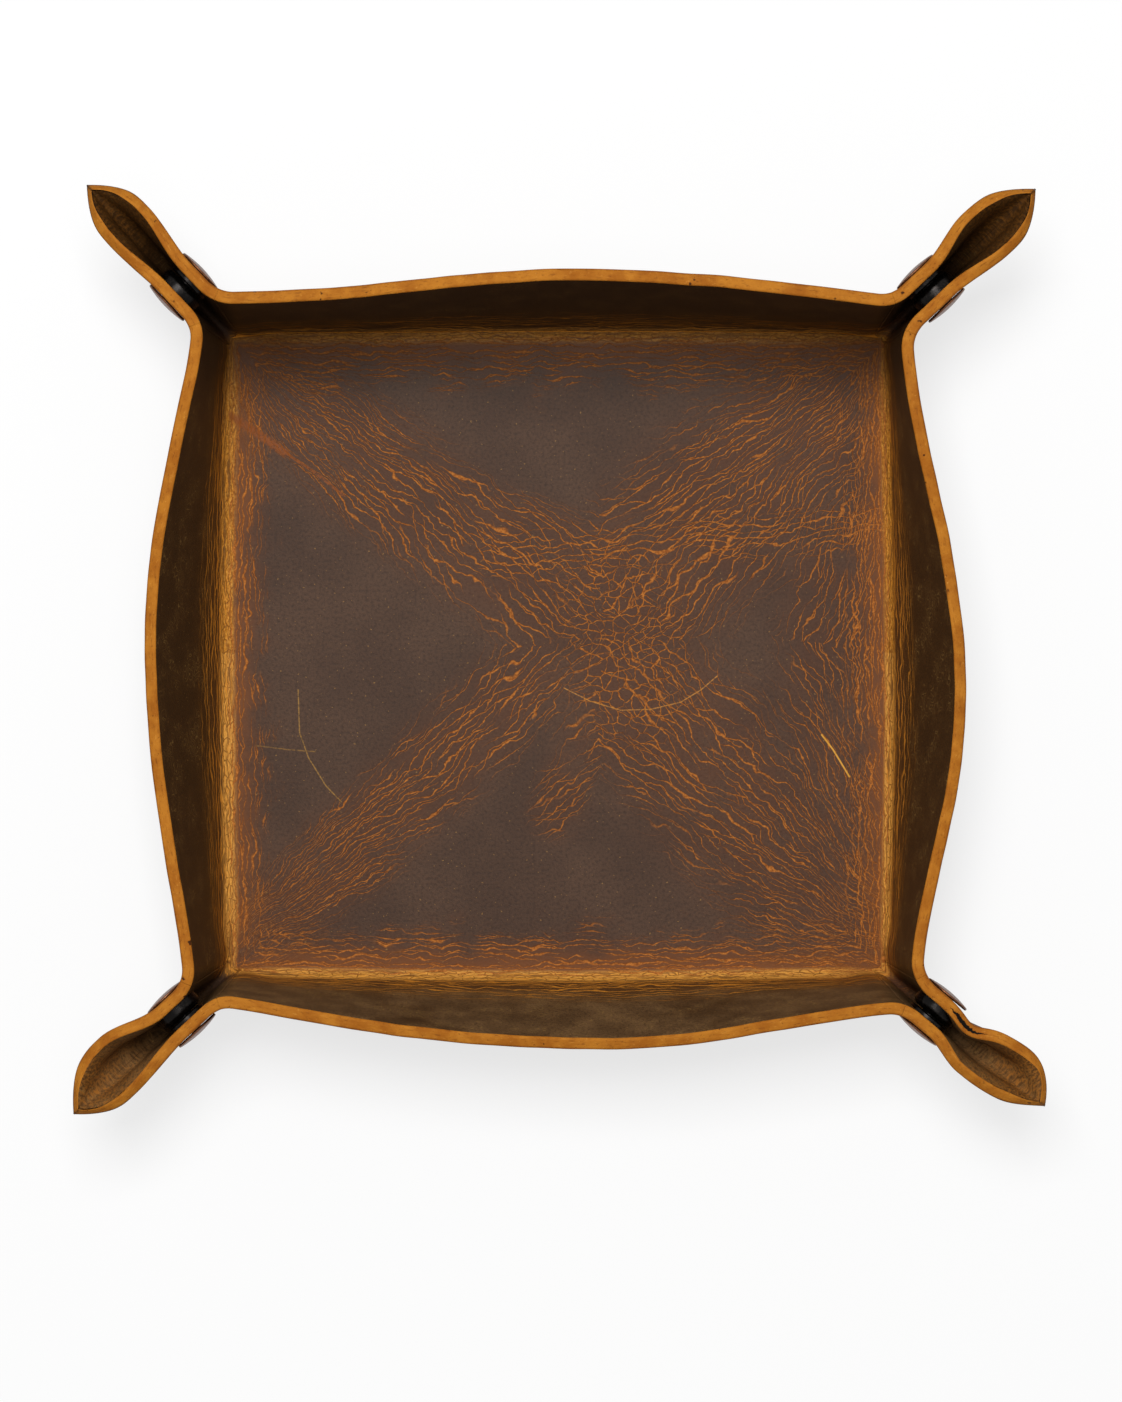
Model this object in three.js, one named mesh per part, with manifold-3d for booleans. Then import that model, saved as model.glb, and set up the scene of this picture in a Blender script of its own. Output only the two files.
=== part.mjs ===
// A leather accessory tray: one thick hide blank creased along four lines, with each corner pinched
// into an ear that a press snap holds shut. The hide is divided along its own fold lines, so that
// the floor, the walls and the two layers of each ear can unfold when the snaps are pulled open.
// Millimetres, +Z up. The origin is the middle of the underside, +Y is the back, +X the right.
import * as THREE from 'three';
import { mergeVertices } from 'three/addons/utils/BufferGeometryUtils.js';
import Module from 'manifold-3d';

// The hide
const BASE_LENGTH = 168; // between the left and right creases
const BASE_WIDTH = 163; // between the front and back creases
const WALL_HEIGHT = 44; // from a crease to the cut rim, along the hide
const LEATHER = 3;
const FOLD_GAP = 0.3; // between two panels along a fold

// Folds, as radii of the middle of the hide's thickness
const CREASE_RADIUS = 5; // floor to wall, away from the corners
const TIGHT_RADIUS = 2.2; // floor to wall at the corners, and under the pinched ear
const CREASE_TAPER = 14; // length over which a crease tightens towards a corner
const CREASE_BOW = 0.72; // a wider bend stands further out, by this share of the radius it gains
const CORNER_RADIUS = 10.5; // wall to ear, seen from above
const CORNER_PLAY = 0.8; // between the floor's clipped corner and the ears
const FOOT_RELIEF = 0.5; // each layer of an ear stands back by this at its foot, so that it can unfold
const RELIEF_LENGTH = 16;

// Walls lean out: by the splay at each end, and by the bow more at the peak, which is placed along the
// wall from its middle. A larger fullness draws that side of the bow in towards the peak. Pairs are for
// the left and right ends, or for the front and back ends.
const BACK_WALL = { splay: [4.3, 3.5], bow: 6.2, peak: 7, fullness: [2.5, 1.3] };
const FRONT_WALL = { splay: [3.6, 5.4], bow: 9.8, peak: 7, fullness: [1.2, 1.7] };
const LEFT_WALL = { splay: [5.3, 3.2], bow: 10.8, peak: 4, fullness: [1.5, 1.65] };
const RIGHT_WALL = { splay: [3.8, 1.3], bow: 11.9, peak: -8, fullness: [1.85, 2.05] };

// Ears: the pinched stretch, then a spoon that opens and closes again at the hide's corner
const EAR_REACH = 44.7; // from the floor's corner to the tip, along the ear
const EAR_DROOP = 4; // of the tip, below the rim at the walls' ends
const PINCH_GAP = 4.5; // between the layers' faces at the snap
// Each layer's widest place: from the ear's mirror plane to its face, and how far along the ear
const SPOONS = {
  back_left: { cap: { gap: 3.4, peak: 29 }, post: { gap: 4.4, peak: 30 } },
  back_right: { cap: { gap: 4.3, peak: 30 }, post: { gap: 5, peak: 27 } },
  front_left: { cap: { gap: 6.5, peak: 29 }, post: { gap: 3.9, peak: 32 } },
  front_right: { cap: { gap: 5.4, peak: 35 }, post: { gap: 4.4, peak: 26 } },
};
const SPOON_ROUNDING = 3; // how much faster than straight a layer spreads above the fold
const TIP_BLEND = 10; // length at the tip where the hide lies flat across the ear
const TIP_FLAT = 1.4; // the tip's blunt end
const EAR_TURN = { back_left: 1.5, back_right: -1.5, front_left: -2, front_right: -5 }; // degrees

// Press snap
const SNAP_REACH = 11.2; // from the floor's corner, along the ear
const SNAP_DROP = 12; // below the rim
const CAP_RADIUS = 6;
const CAP_DOME = 1.3;
const CAP_EDGE = 0.7;
const BARREL_RADIUS = 2.1;
const BARREL_BORE = 1.4;
const BARREL_LIP = 0.5; // rolled-over end of the barrel
const HIDE_HOLE = 2.5; // radius of the hole through the hide
const SOCKET_RADIUS = 5.9;
const SOCKET_CEILING = 0.7;
const SOCKET_LIP = 0.4;
const SOCKET_PLAY = 0.4; // round the stud's head
const SOCKET_ROUND = 0.55; // share of the socket's height that is rounded
const SPRING_RADIUS = 3.5; // middle of the wire
const SPRING_WIRE = 0.6;
const SPRING_OPENING = 50; // degrees left open in the ring
const STUD_RADIUS = 5.4;
const STUD_FLANGE = 0.9;
const STUD_HEAD = 2.9;
const STUD_NECK = 2.5;
const STUD_WAIST = 0.35; // top of the neck, as a share of the height over the flange
const STUD_CROWN = 0.7; // widest place of the head, as the same share
const POST_BARREL = 1.5;
const SNAP_GAP = 0.25; // between stacked snap pieces

// Steps of the faceted surfaces
const FLOOR_STEPS = 16;
const BEND_STEPS = 3;
const WALL_STEPS = 24;
const END_CROWDING = 0.8; // how much closer a wall's steps lie at its ends
const RULE_STEPS = 2;
const EAR_STEPS = 14;
const WALL_CROWDING = 1.2; // above 1, an ear's steps lie closer towards its wall
const ROUND_STEPS = 3;
const LAYER_STEPS = 3;
const SNAP_SIDES = 16;
const DOME_STEPS = 3;
const QUARTER_STEPS = 2;
const RING_STEPS = 16;
const WIRE_SIDES = 6;
const SHORTEST_EDGE = 0.04; // left by a cut
const SAME_POINT = 1e-5;
const SLOPE_STEP = 1e-4; // over which a surface's directions are measured

const wasm = await Module();
wasm.setup();

const HALF = LEATHER / 2;
const HALF_LENGTH = BASE_LENGTH / 2;
const HALF_WIDTH = BASE_WIDTH / 2;
const PINCH = PINCH_GAP / 2 + HALF; // mirror plane of the ear to the middle of a layer
const SPOON_START = SNAP_REACH + CAP_RADIUS; // the ear opens just past the snap
const { clamp, lerp, smoothstep, degToRad } = THREE.MathUtils;

const leather = new THREE.MeshStandardMaterial({ color: 0x432a1a, roughness: 0.55, metalness: 0 });
const gunmetal = new THREE.MeshStandardMaterial({ color: 0x1c1a19, roughness: 0.3, metalness: 0.9 });
const springSteel = new THREE.MeshStandardMaterial({ color: 0x8a8680, roughness: 0.35, metalness: 1 });

// Closed solids

// One closed skin: points closer than the joining distance become one, and flat triangles go
function closed(geometry, joining = SAME_POINT) {
  const bare = geometry.clone();
  bare.deleteAttribute('normal');
  bare.deleteAttribute('uv');
  const merged = mergeVertices(bare, SAME_POINT);
  const point = merged.attributes.position;
  const first = new THREE.Vector3();
  const second = new THREE.Vector3();
  const same = Array.from({ length: point.count }, (_, i) => i);
  const root = (i) => (same[i] === i ? i : root(same[i]));
  const triangles = [];
  for (let i = 0; i < merged.index.count; i += 3) {
    triangles.push([0, 1, 2].map((k) => merged.index.getX(i + k)));
  }
  for (const [a, b, c] of triangles) {
    for (const [i, j] of [[a, b], [b, c], [c, a]]) {
      const gap = first.fromBufferAttribute(point, i).distanceTo(second.fromBufferAttribute(point, j));
      if (gap < joining) same[root(i)] = root(j);
    }
  }
  const kept = triangles.map((t) => t.map(root)).filter(([a, b, c]) => a !== b && b !== c && c !== a);
  merged.setIndex(kept.flat());
  return mergeVertices(merged.toNonIndexed(), SAME_POINT);
}

function solid(geometry) {
  const merged = closed(geometry);
  return new wasm.Manifold(new wasm.Mesh({
    numProp: 3,
    vertProperties: new Float32Array(merged.attributes.position.array),
    triVerts: new Uint32Array(merged.index.array),
  }));
}

function surface(manifold) {
  const mesh = manifold.getMesh();
  const geometry = new THREE.BufferGeometry();
  geometry.setAttribute('position', new THREE.BufferAttribute(mesh.vertProperties, 3));
  geometry.setIndex(new THREE.BufferAttribute(mesh.triVerts, 1));
  return closed(geometry, SHORTEST_EDGE);
}

function signedVolume(geometry) {
  const point = geometry.attributes.position;
  const corner = [new THREE.Vector3(), new THREE.Vector3(), new THREE.Vector3()];
  let volume = 0;
  for (let i = 0; i < geometry.index.count; i += 3) {
    corner.forEach((c, k) => c.fromBufferAttribute(point, geometry.index.getX(i + k)));
    volume += corner[0].dot(corner[1].cross(corner[2]));
  }
  return volume;
}

function facingOut(geometry) {
  if (signedVolume(geometry) < 0) geometry.index.array.reverse();
  return geometry;
}

// A sheet as thick as the hide on both sides of its middle surface. middle(u, v) gives a point of that
// surface for u and v from 0 to 1, and across(u, v, normal) may turn the direction of the thickness.
function sheet(middle, uSteps, vSteps, across = (u, v, normal) => normal) {
  const geometry = closed(new THREE.BoxGeometry(1, 1, 1, uSteps, vSteps, 1));
  const point = geometry.attributes.position;
  for (let i = 0; i < point.count; i += 1) {
    const u = point.getX(i) + 0.5;
    const v = point.getY(i) + 0.5;
    const along = middle(u + SLOPE_STEP, v).sub(middle(u - SLOPE_STEP, v));
    const up = middle(u, v + SLOPE_STEP).sub(middle(u, v - SLOPE_STEP));
    const normal = across(u, v, along.cross(up).normalize());
    const place = middle(u, v).addScaledVector(normal, LEATHER * point.getZ(i));
    point.setXYZ(i, place.x, place.y, place.z);
  }
  return facingOut(geometry);
}

// Walls and creases

// Walls that run across the tray, from left to right, and walls along it, from front to back
const ACROSS = { across: true, half: HALF_LENGTH, edge: HALF_WIDTH };
const ALONG = { across: false, half: HALF_WIDTH, edge: HALF_LENGTH };
const walls = {
  back_wall: { ...BACK_WALL, ...ACROSS, side: 1, ends: ['back_left', 'back_right'] },
  front_wall: { ...FRONT_WALL, ...ACROSS, side: -1, ends: ['front_left', 'front_right'] },
  left_wall: { ...LEFT_WALL, ...ALONG, side: -1, ends: ['front_left', 'back_left'] },
  right_wall: { ...RIGHT_WALL, ...ALONG, side: 1, ends: ['front_right', 'back_right'] },
};

// How far the rim stands outside the crease, at a place along the wall
function rimOffset(wall, along) {
  const before = along < wall.peak;
  const reach = before ? wall.half + wall.peak : wall.half - wall.peak;
  const x = clamp((along - wall.peak) / reach, -1, 1);
  const splay = lerp(...wall.splay, (along / wall.half + 1) / 2);
  return splay + wall.bow * (1 - x * x) ** wall.fullness[before ? 0 : 1];
}

function creaseRadius(fromCorner) {
  return lerp(TIGHT_RADIUS, CREASE_RADIUS, smoothstep(fromCorner, 0, CREASE_TAPER));
}

// The bend between floor and wall: the wall's lean, the bend's angle and radius, the length of its
// tangents, and where it starts, measured out from the crease line
function crease(wall, along) {
  const radius = creaseRadius(wall.half - Math.abs(along));
  const bow = CREASE_BOW * (radius - TIGHT_RADIUS);
  const lean = Math.asin((rimOffset(wall, along) - bow) / WALL_HEIGHT);
  const angle = Math.PI / 2 - lean;
  const tangent = radius * Math.tan(angle / 2);
  return { lean, angle, radius, tangent, start: bow - tangent };
}

// Ears

const corners = {
  back_left: { x: -1, y: 1 },
  back_right: { x: 1, y: 1 },
  front_left: { x: -1, y: -1 },
  front_right: { x: 1, y: -1 },
};

// The bend from a wall into its layer of an ear: its angle, and the wall's splay there
function cornerBend(name, across) {
  const turn = degToRad(EAR_TURN[name]);
  const wall = Object.values(walls).find((w) => w.across === across && w.ends.includes(name));
  return { turn: Math.PI / 4 + (across ? turn : -turn), splay: wall.splay[wall.ends.indexOf(name)] };
}

// Where a wall turns into its layer of the ear. e runs along the ear from the floor's corner, w from the
// ear's mirror plane to the layer, and rise from 0 at the crease to 1 at the rim. u is the same place
// along the wall, past the corner.
function fold({ turn, splay }, rise) {
  const layer = lerp(TIGHT_RADIUS, PINCH, rise);
  const sharp = (splay * rise - layer * Math.cos(turn)) / Math.sin(turn);
  const bendEnd = sharp + CORNER_RADIUS * Math.tan(turn / 2);
  const e = bendEnd - CORNER_RADIUS * Math.sin(turn / 2);
  const w = layer + CORNER_RADIUS * (1 - Math.cos(turn / 2));
  const u = e * Math.cos(turn) - w * Math.sin(turn);
  return { e, w, u, bendEnd };
}

// How far the bend at a wall's end has carried the hide sideways, at a distance into that bend
function bendRise(into) {
  const inside = clamp(into, 0, CORNER_RADIUS);
  return CORNER_RADIUS - Math.sqrt(CORNER_RADIUS ** 2 - inside ** 2);
}

const splays = Object.values(walls).flatMap((wall) => wall.splay);
const meanSplay = splays.reduce((sum, splay) => sum + splay) / splays.length;
const RIM_RISE = Math.sqrt(WALL_HEIGHT ** 2 - meanSplay ** 2); // height of the ears' rims over the crease

// Half the width of the ear at its rim, on the side of one layer
function spoonWidth({ gap, peak }, e) {
  if (e < peak) return lerp(PINCH, gap + HALF, smoothstep(e, SPOON_START, peak));
  const t = (e - peak) / (EAR_REACH - peak);
  return (gap + HALF) * (1 - t * t);
}

// A point of one layer of an ear, as e, w and z. p is the distance of its ruling from the wall along the
// rim, and v goes from 0 at the fold under the ear to 1 at the rim.
function earPoint(bend, spoon, p, v) {
  const foot = fold(bend, 0).e;
  const head = fold(bend, 1).e;
  const out = p / WALL_HEIGHT;
  const rimE = lerp(head, EAR_REACH, out);
  const footE = lerp(foot, EAR_REACH, out);
  const rimW = spoonWidth(spoon, rimE);
  const depth = (WALL_HEIGHT - p) * Math.SQRT1_2; // from the fold under the ear to the rim, square to it
  const open = smoothstep(rimE, SPOON_START, spoon.peak);
  const radius = lerp(TIGHT_RADIUS, Math.min(rimW, depth), open);
  const rounded = ROUND_STEPS / (ROUND_STEPS + LAYER_STEPS);
  const swing = Math.min(v / rounded, 1) * Math.PI / 2;
  const roundRise = radius / depth * (1 - Math.cos(swing));
  const rise = lerp(roundRise, 1, Math.max(0, (v - rounded) / (1 - rounded)));
  const spread = 1 + SPOON_ROUNDING * smoothstep(p, 0, SNAP_REACH) * (1 - open);
  const straight = lerp(Math.min(radius, rimW), rimW, 1 - Math.max(0, 1 - rise) ** spread);
  const e = lerp(footE, rimE, rise);
  const { bendEnd } = fold(bend, rise);
  const relief = FOOT_RELIEF * (1 - rise) * Math.max(0, 1 - p / RELIEF_LENGTH);
  return {
    e,
    w: (straight + bendRise(bendEnd - e)) * Math.sin(swing) + FOLD_GAP / 2 + relief,
    z: HALF + lerp(lerp(0, RIM_RISE - EAR_DROOP, out), RIM_RISE - EAR_DROOP * out, rise),
  };
}

// A place in an ear's own directions, as a place in the tray
function fromEar(corner, turn, across, { e, w, z }) {
  const u = e * Math.cos(turn) - w * Math.sin(turn);
  const v = e * Math.sin(turn) + w * Math.cos(turn);
  const x = corner.x * (HALF_LENGTH + (across ? u : v));
  const y = corner.y * (HALF_WIDTH + (across ? v : u));
  return new THREE.Vector3(x, y, z);
}

const tray = new THREE.Group();
tray.name = 'accessory_tray';

function add(name, geometry, material) {
  const mesh = new THREE.Mesh(geometry, material);
  mesh.name = name;
  tray.add(mesh);
  return mesh;
}

// Floor: its four edges turn up through the first half of each crease, and its corners are clipped
// where the ears fold under.

function turnedUp(t, wall, edge, along) {
  const bend = crease(wall, along);
  const { angle, radius } = bend;
  const flat = 1 - 2 * BEND_STEPS / FLOOR_STEPS;
  const last = radius * Math.sin(angle / 2 - FOLD_GAP / 2 / radius);
  const start = edge + bend.start;
  const size = Math.abs(t);
  const reach = size < flat ? start * size / flat : start + last * (size - flat) / (1 - flat);
  return { reach, start, radius };
}

function bendHeight(reach, { start, radius }) {
  const into = Math.max(0, reach - start);
  return radius - Math.sqrt(radius ** 2 - into ** 2);
}

function floorGeometry() {
  const leg = (TIGHT_RADIUS + HALF + CORNER_PLAY) * Math.SQRT2; // of the clipped corner
  const middle = (u, v) => {
    const s = 2 * u - 1;
    const t = 2 * v - 1;
    const x = turnedUp(s, s < 0 ? walls.left_wall : walls.right_wall, HALF_LENGTH, t * HALF_WIDTH);
    const y = turnedUp(t, t < 0 ? walls.front_wall : walls.back_wall, HALF_WIDTH, s * HALF_LENGTH);
    const fromX = HALF_LENGTH - x.reach;
    const fromY = HALF_WIDTH - y.reach;
    const spare = Math.max(0, 2 * leg - fromX - fromY); // how far into the corner's triangle
    const drawn = spare / 2 * (1 - leg / (2 * leg - Math.min(leg, Math.abs(fromX - fromY))));
    const nearX = x.reach - drawn;
    const nearY = y.reach - drawn;
    const height = HALF + bendHeight(nearX, x) + bendHeight(nearY, y);
    return new THREE.Vector3(Math.sign(s) * nearX, Math.sign(t) * nearY, height);
  };
  return sheet(middle, FLOOR_STEPS, FLOOR_STEPS);
}

add('leather_base', floorGeometry(), leather);

// Walls: the second half of the crease, then straight rulings up to the bowed rim. Each end turns out
// through half of the bend into an ear.

function wallGeometry(wall) {
  const bendShare = BEND_STEPS / (BEND_STEPS + RULE_STEPS);
  const middle = (a, b) => {
    const s = (2 * a - 1) * (1 + END_CROWDING * (1 - Math.abs(2 * a - 1)));
    const corner = cornerBend(wall.ends[s < 0 ? 0 : 1], wall.across);
    const { lean, angle, radius, tangent, start } = crease(wall, s * wall.half);
    const first = angle / 2 + FOLD_GAP / 2 / radius;
    const swing = lerp(first, angle, Math.min(b / bendShare, 1));
    const ruled = (WALL_HEIGHT - tangent) * Math.max(0, (b - bendShare) / (1 - bendShare));
    const out = start + radius * Math.sin(swing) + ruled * Math.sin(lean);
    const up = radius * (1 - Math.cos(swing)) + ruled * Math.cos(lean);
    const rise = up / (WALL_HEIGHT * Math.cos(lean));
    const end = fold(corner, rise);
    const u = s * (wall.half + end.u - FOLD_GAP / 2);
    const bendStart = wall.half + end.u - CORNER_RADIUS * Math.sin(corner.turn / 2);
    const v = out + bendRise(Math.abs(u) - bendStart);
    const place = wall.side * (wall.edge + v);
    const z = HALF + up;
    return wall.across ? new THREE.Vector3(u, place, z) : new THREE.Vector3(place, u, z);
  };
  return sheet(middle, WALL_STEPS, BEND_STEPS + RULE_STEPS);
}

for (const [name, wall] of Object.entries(walls)) add(name, wallGeometry(wall), leather);

// Press snaps. Every piece is turned on the snap's axis, which crosses the ear square to its mirror
// plane: heights are measured from that plane, with the socket's side positive.

const FACE = PINCH - HALF; // inner face of a layer
const OUTSIDE = PINCH + HALF;
const SOCKET_TOP = FACE - SNAP_GAP;
const CEILING = SOCKET_TOP - SOCKET_CEILING;
const STUD_FOOT = -FACE + SNAP_GAP;
const STUD_SHOULDER = STUD_FOOT + STUD_FLANGE;
const SOCKET_MOUTH = STUD_SHOULDER + SNAP_GAP;
const LIP_END = CEILING - SNAP_GAP - BARREL_LIP;
const HEAD_TOP = LIP_END - SNAP_GAP;

function turned(points) {
  const profile = points.map(([r, h]) => new THREE.Vector2(r, h));
  return facingOut(closed(new THREE.LatheGeometry(profile, SNAP_SIDES)));
}

// A quarter round from one point of a profile to the next, bulging away from the axis
function quarter(r0, h0, r1, h1) {
  const points = [];
  for (let i = 1; i <= QUARTER_STEPS; i += 1) {
    const t = i / QUARTER_STEPS * Math.PI / 2;
    points.push([lerp(r0, r1, 1 - Math.cos(t)), lerp(h0, h1, Math.sin(t))]);
  }
  return points;
}

// A shallow dome with a rolled edge, on a hollow barrel that passes through the hide
function domedHead(barrel, bore, end, lip) {
  const seat = OUTSIDE + SNAP_GAP;
  const dome = [];
  for (let i = 0; i <= DOME_STEPS; i += 1) {
    const t = i / DOME_STEPS;
    dome.push([(CAP_RADIUS - CAP_EDGE / 2) * t, seat + CAP_EDGE + (CAP_DOME - CAP_EDGE) * (1 - t * t)]);
  }
  const lipPoints = lip > 0
    ? [[barrel, end + BARREL_LIP], [barrel + lip, end + BARREL_LIP], [barrel + lip, end]]
    : [[barrel, end]];
  return turned([
    ...dome,
    [CAP_RADIUS, seat + CAP_EDGE / 2],
    [CAP_RADIUS - CAP_EDGE / 2, seat],
    [barrel, seat],
    ...lipPoints,
    [bore, end],
    [bore, seat],
    [0, seat],
  ]);
}

function socketGeometry() {
  const hole = BARREL_RADIUS + SNAP_GAP;
  const cavity = SPRING_RADIUS + SPRING_WIRE / 2 + SNAP_GAP;
  const mouth = STUD_HEAD + SOCKET_PLAY;
  const shoulder = lerp(SOCKET_MOUTH, SOCKET_TOP, SOCKET_ROUND);
  return turned([
    [hole, SOCKET_TOP],
    [SOCKET_RADIUS, SOCKET_TOP],
    [SOCKET_RADIUS, shoulder],
    ...quarter(SOCKET_RADIUS, shoulder, cavity + SOCKET_LIP, SOCKET_MOUTH),
    [mouth, SOCKET_MOUTH],
    [mouth, SOCKET_MOUTH + SOCKET_LIP],
    [cavity, SOCKET_MOUTH + SOCKET_LIP],
    [cavity, CEILING],
    [hole, CEILING],
    [hole, SOCKET_TOP],
  ]);
}

function studGeometry() {
  const hole = POST_BARREL + SNAP_GAP;
  const waist = lerp(STUD_SHOULDER, HEAD_TOP, STUD_WAIST);
  const crown = lerp(STUD_SHOULDER, HEAD_TOP, STUD_CROWN);
  return turned([
    [hole, STUD_FOOT],
    [STUD_RADIUS, STUD_FOOT],
    [STUD_RADIUS, STUD_FOOT + STUD_FLANGE / 2],
    [STUD_RADIUS - STUD_FLANGE / 2, STUD_SHOULDER],
    [STUD_NECK, STUD_SHOULDER],
    [STUD_NECK, waist],
    [STUD_HEAD, crown],
    [STUD_NECK, HEAD_TOP],
    [hole, HEAD_TOP],
    [hole, STUD_FOOT],
  ]);
}

// The socket's spring: an open ring of wire that lies round the stud's neck
function springGeometry() {
  const open = degToRad(SPRING_OPENING);
  const ring = new THREE.EllipseCurve(0, 0, SPRING_RADIUS, SPRING_RADIUS, open / 2, 2 * Math.PI - open / 2);
  const points = ring.getPoints(RING_STEPS).map((p) => new THREE.Vector3(p.x, 0, p.y));
  const path = new THREE.CatmullRomCurve3(points);
  const section = new THREE.Shape();
  for (let i = 0; i < WIRE_SIDES; i += 1) {
    const t = i / WIRE_SIDES * 2 * Math.PI;
    const place = [SPRING_WIRE / 2 * Math.cos(t), SPRING_WIRE / 2 * Math.sin(t)];
    if (i === 0) section.moveTo(...place);
    else section.lineTo(...place);
  }
  section.closePath();
  const wire = new THREE.ExtrudeGeometry(section, { steps: RING_STEPS, extrudePath: path });
  wire.translate(0, SOCKET_MOUTH + SOCKET_LIP + SNAP_GAP / 2 + SPRING_WIRE / 2, 0);
  return facingOut(closed(wire));
}

// Ears and their snaps

function layerGeometry(corner, bend, across, spoon, hole) {
  const { turn } = bend;
  const tip = WALL_HEIGHT - TIP_FLAT;
  const distance = (a) => lerp(2 * FOLD_GAP, tip, Math.sign(a) * Math.abs(a) ** WALL_CROWDING);
  const middle = (a, b) => fromEar(corner, turn, across, earPoint(bend, spoon, distance(a), b));
  const handed = corner.x * corner.y * (across ? 1 : -1);
  const flatAcross = fromEar(corner, turn, across, { e: -1, w: 0, z: 1 })
    .sub(fromEar(corner, turn, across, { e: 0, w: 0, z: 0 })).normalize().multiplyScalar(handed);
  const towardsTip = (a, b, normal) => {
    const share = smoothstep(distance(a), tip - TIP_BLEND, tip);
    return normal.lerp(flatAcross, share).normalize();
  };
  const layer = solid(sheet(middle, EAR_STEPS, ROUND_STEPS + LAYER_STEPS, towardsTip));
  return surface(layer.subtract(hole));
}

const pieces = {
  cap: domedHead(BARREL_RADIUS, BARREL_BORE, LIP_END, BARREL_LIP),
  socket: socketGeometry(),
  spring: springGeometry(),
  stud: studGeometry(),
  post: domedHead(POST_BARREL, POST_BARREL / 2, -HEAD_TOP, 0),
};

for (const [name, corner] of Object.entries(corners)) {
  const bendAcross = cornerBend(name, true);
  const bendAlong = cornerBend(name, false);
  const seat = { e: SNAP_REACH, w: 0, z: HALF + RIM_RISE * (1 - SNAP_DROP / WALL_HEIGHT) };
  const centre = fromEar(corner, bendAlong.turn, false, seat);
  const axis = fromEar(corner, bendAlong.turn, false, { ...seat, w: 1 }).sub(centre).normalize();
  const upright = new THREE.Quaternion().setFromUnitVectors(new THREE.Vector3(0, 1, 0), axis);
  const drill = new THREE.CylinderGeometry(HIDE_HOLE, HIDE_HOLE, 4 * OUTSIDE, SNAP_SIDES);
  drill.applyQuaternion(upright).translate(centre.x, centre.y, centre.z);
  const hole = solid(drill);
  const { cap, post } = SPOONS[name];
  add(`${name}_ear_cap_layer`, layerGeometry(corner, bendAlong, false, cap, hole), leather);
  add(`${name}_ear_post_layer`, layerGeometry(corner, bendAcross, true, post, hole), leather);
  for (const [piece, geometry] of Object.entries(pieces)) {
    const mesh = add(`${name}_snap_${piece}`, geometry, piece === 'spring' ? springSteel : gunmetal);
    mesh.position.copy(centre);
    mesh.quaternion.copy(upright);
    if (piece === 'post') mesh.rotateX(Math.PI);
  }
}

export default tray;
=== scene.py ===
import math

import bmesh
import bpy
from mathutils import Matrix, Vector, noise


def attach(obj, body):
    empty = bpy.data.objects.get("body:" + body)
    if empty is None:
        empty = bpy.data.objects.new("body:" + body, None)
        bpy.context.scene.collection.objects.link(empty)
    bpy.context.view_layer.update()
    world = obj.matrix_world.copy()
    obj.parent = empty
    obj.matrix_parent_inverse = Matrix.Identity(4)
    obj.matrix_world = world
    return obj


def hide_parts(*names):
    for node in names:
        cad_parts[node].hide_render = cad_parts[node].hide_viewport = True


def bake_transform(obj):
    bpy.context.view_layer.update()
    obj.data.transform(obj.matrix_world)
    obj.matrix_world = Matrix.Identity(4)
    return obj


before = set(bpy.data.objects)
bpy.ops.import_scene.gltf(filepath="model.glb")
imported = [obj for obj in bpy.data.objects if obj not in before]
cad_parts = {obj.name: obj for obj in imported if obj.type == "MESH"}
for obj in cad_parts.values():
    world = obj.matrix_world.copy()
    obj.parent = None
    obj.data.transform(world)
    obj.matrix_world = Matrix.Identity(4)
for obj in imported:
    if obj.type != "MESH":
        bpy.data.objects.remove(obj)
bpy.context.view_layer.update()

# The view: straight down on a white table from a metre up, as in the photograph, where one pixel
# covers 0.2545 mm of the tray's floor. A soft key light hangs high behind the tray, a weaker one overhead.
MM = 0.001
PHOTO_WIDTH, PHOTO_HEIGHT = 1122, 1402
PIXEL = 0.2545 * MM
TRAY_PIXEL = (556.5, 653.0)  # the tray's middle in the photograph
CAMERA_HEIGHT = 1.0
SENSOR = 36.0

lens = bpy.data.cameras.new("camera")
lens.sensor_width = SENSOR
lens.lens = SENSOR * CAMERA_HEIGHT / (PHOTO_HEIGHT * PIXEL)
camera = bpy.data.objects.new("camera", lens)
camera.location = (
    (PHOTO_WIDTH / 2 - TRAY_PIXEL[0]) * PIXEL,
    (TRAY_PIXEL[1] - PHOTO_HEIGHT / 2) * PIXEL,
    CAMERA_HEIGHT,
)
bpy.context.collection.objects.link(camera)
bpy.context.scene.camera = camera
bpy.context.scene.view_settings.view_transform = "Standard"


def add_node(tree, kind, sockets=None, **settings):
    """A shader node with its settings, and each named or numbered socket set to a value or linked."""
    made = tree.nodes.new(f"ShaderNode{kind}")
    for name, value in settings.items():
        setattr(made, name, value)
    for name, value in (sockets or {}).items():
        if isinstance(value, bpy.types.NodeSocket):
            tree.links.new(value, made.inputs[name])
        else:
            made.inputs[name].default_value = value
    return made


def calc(tree, operation, *values):
    """One sum on one to three numbers or sockets."""
    return add_node(tree, "Math", dict(enumerate(values)), operation=operation).outputs[0]


def times(tree, first, *others):
    """The product of numbers or sockets."""
    for other in others:
        first = calc(tree, "MULTIPLY", first, other)
    return first


def scaled(tree, value, share, added):
    """A number or socket times another, with a third added."""
    return calc(tree, "MULTIPLY_ADD", value, share, added)


def greatest(tree, first, *others):
    """The greatest of numbers or sockets."""
    for other in others:
        first = calc(tree, "MAXIMUM", first, other)
    return first


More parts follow.
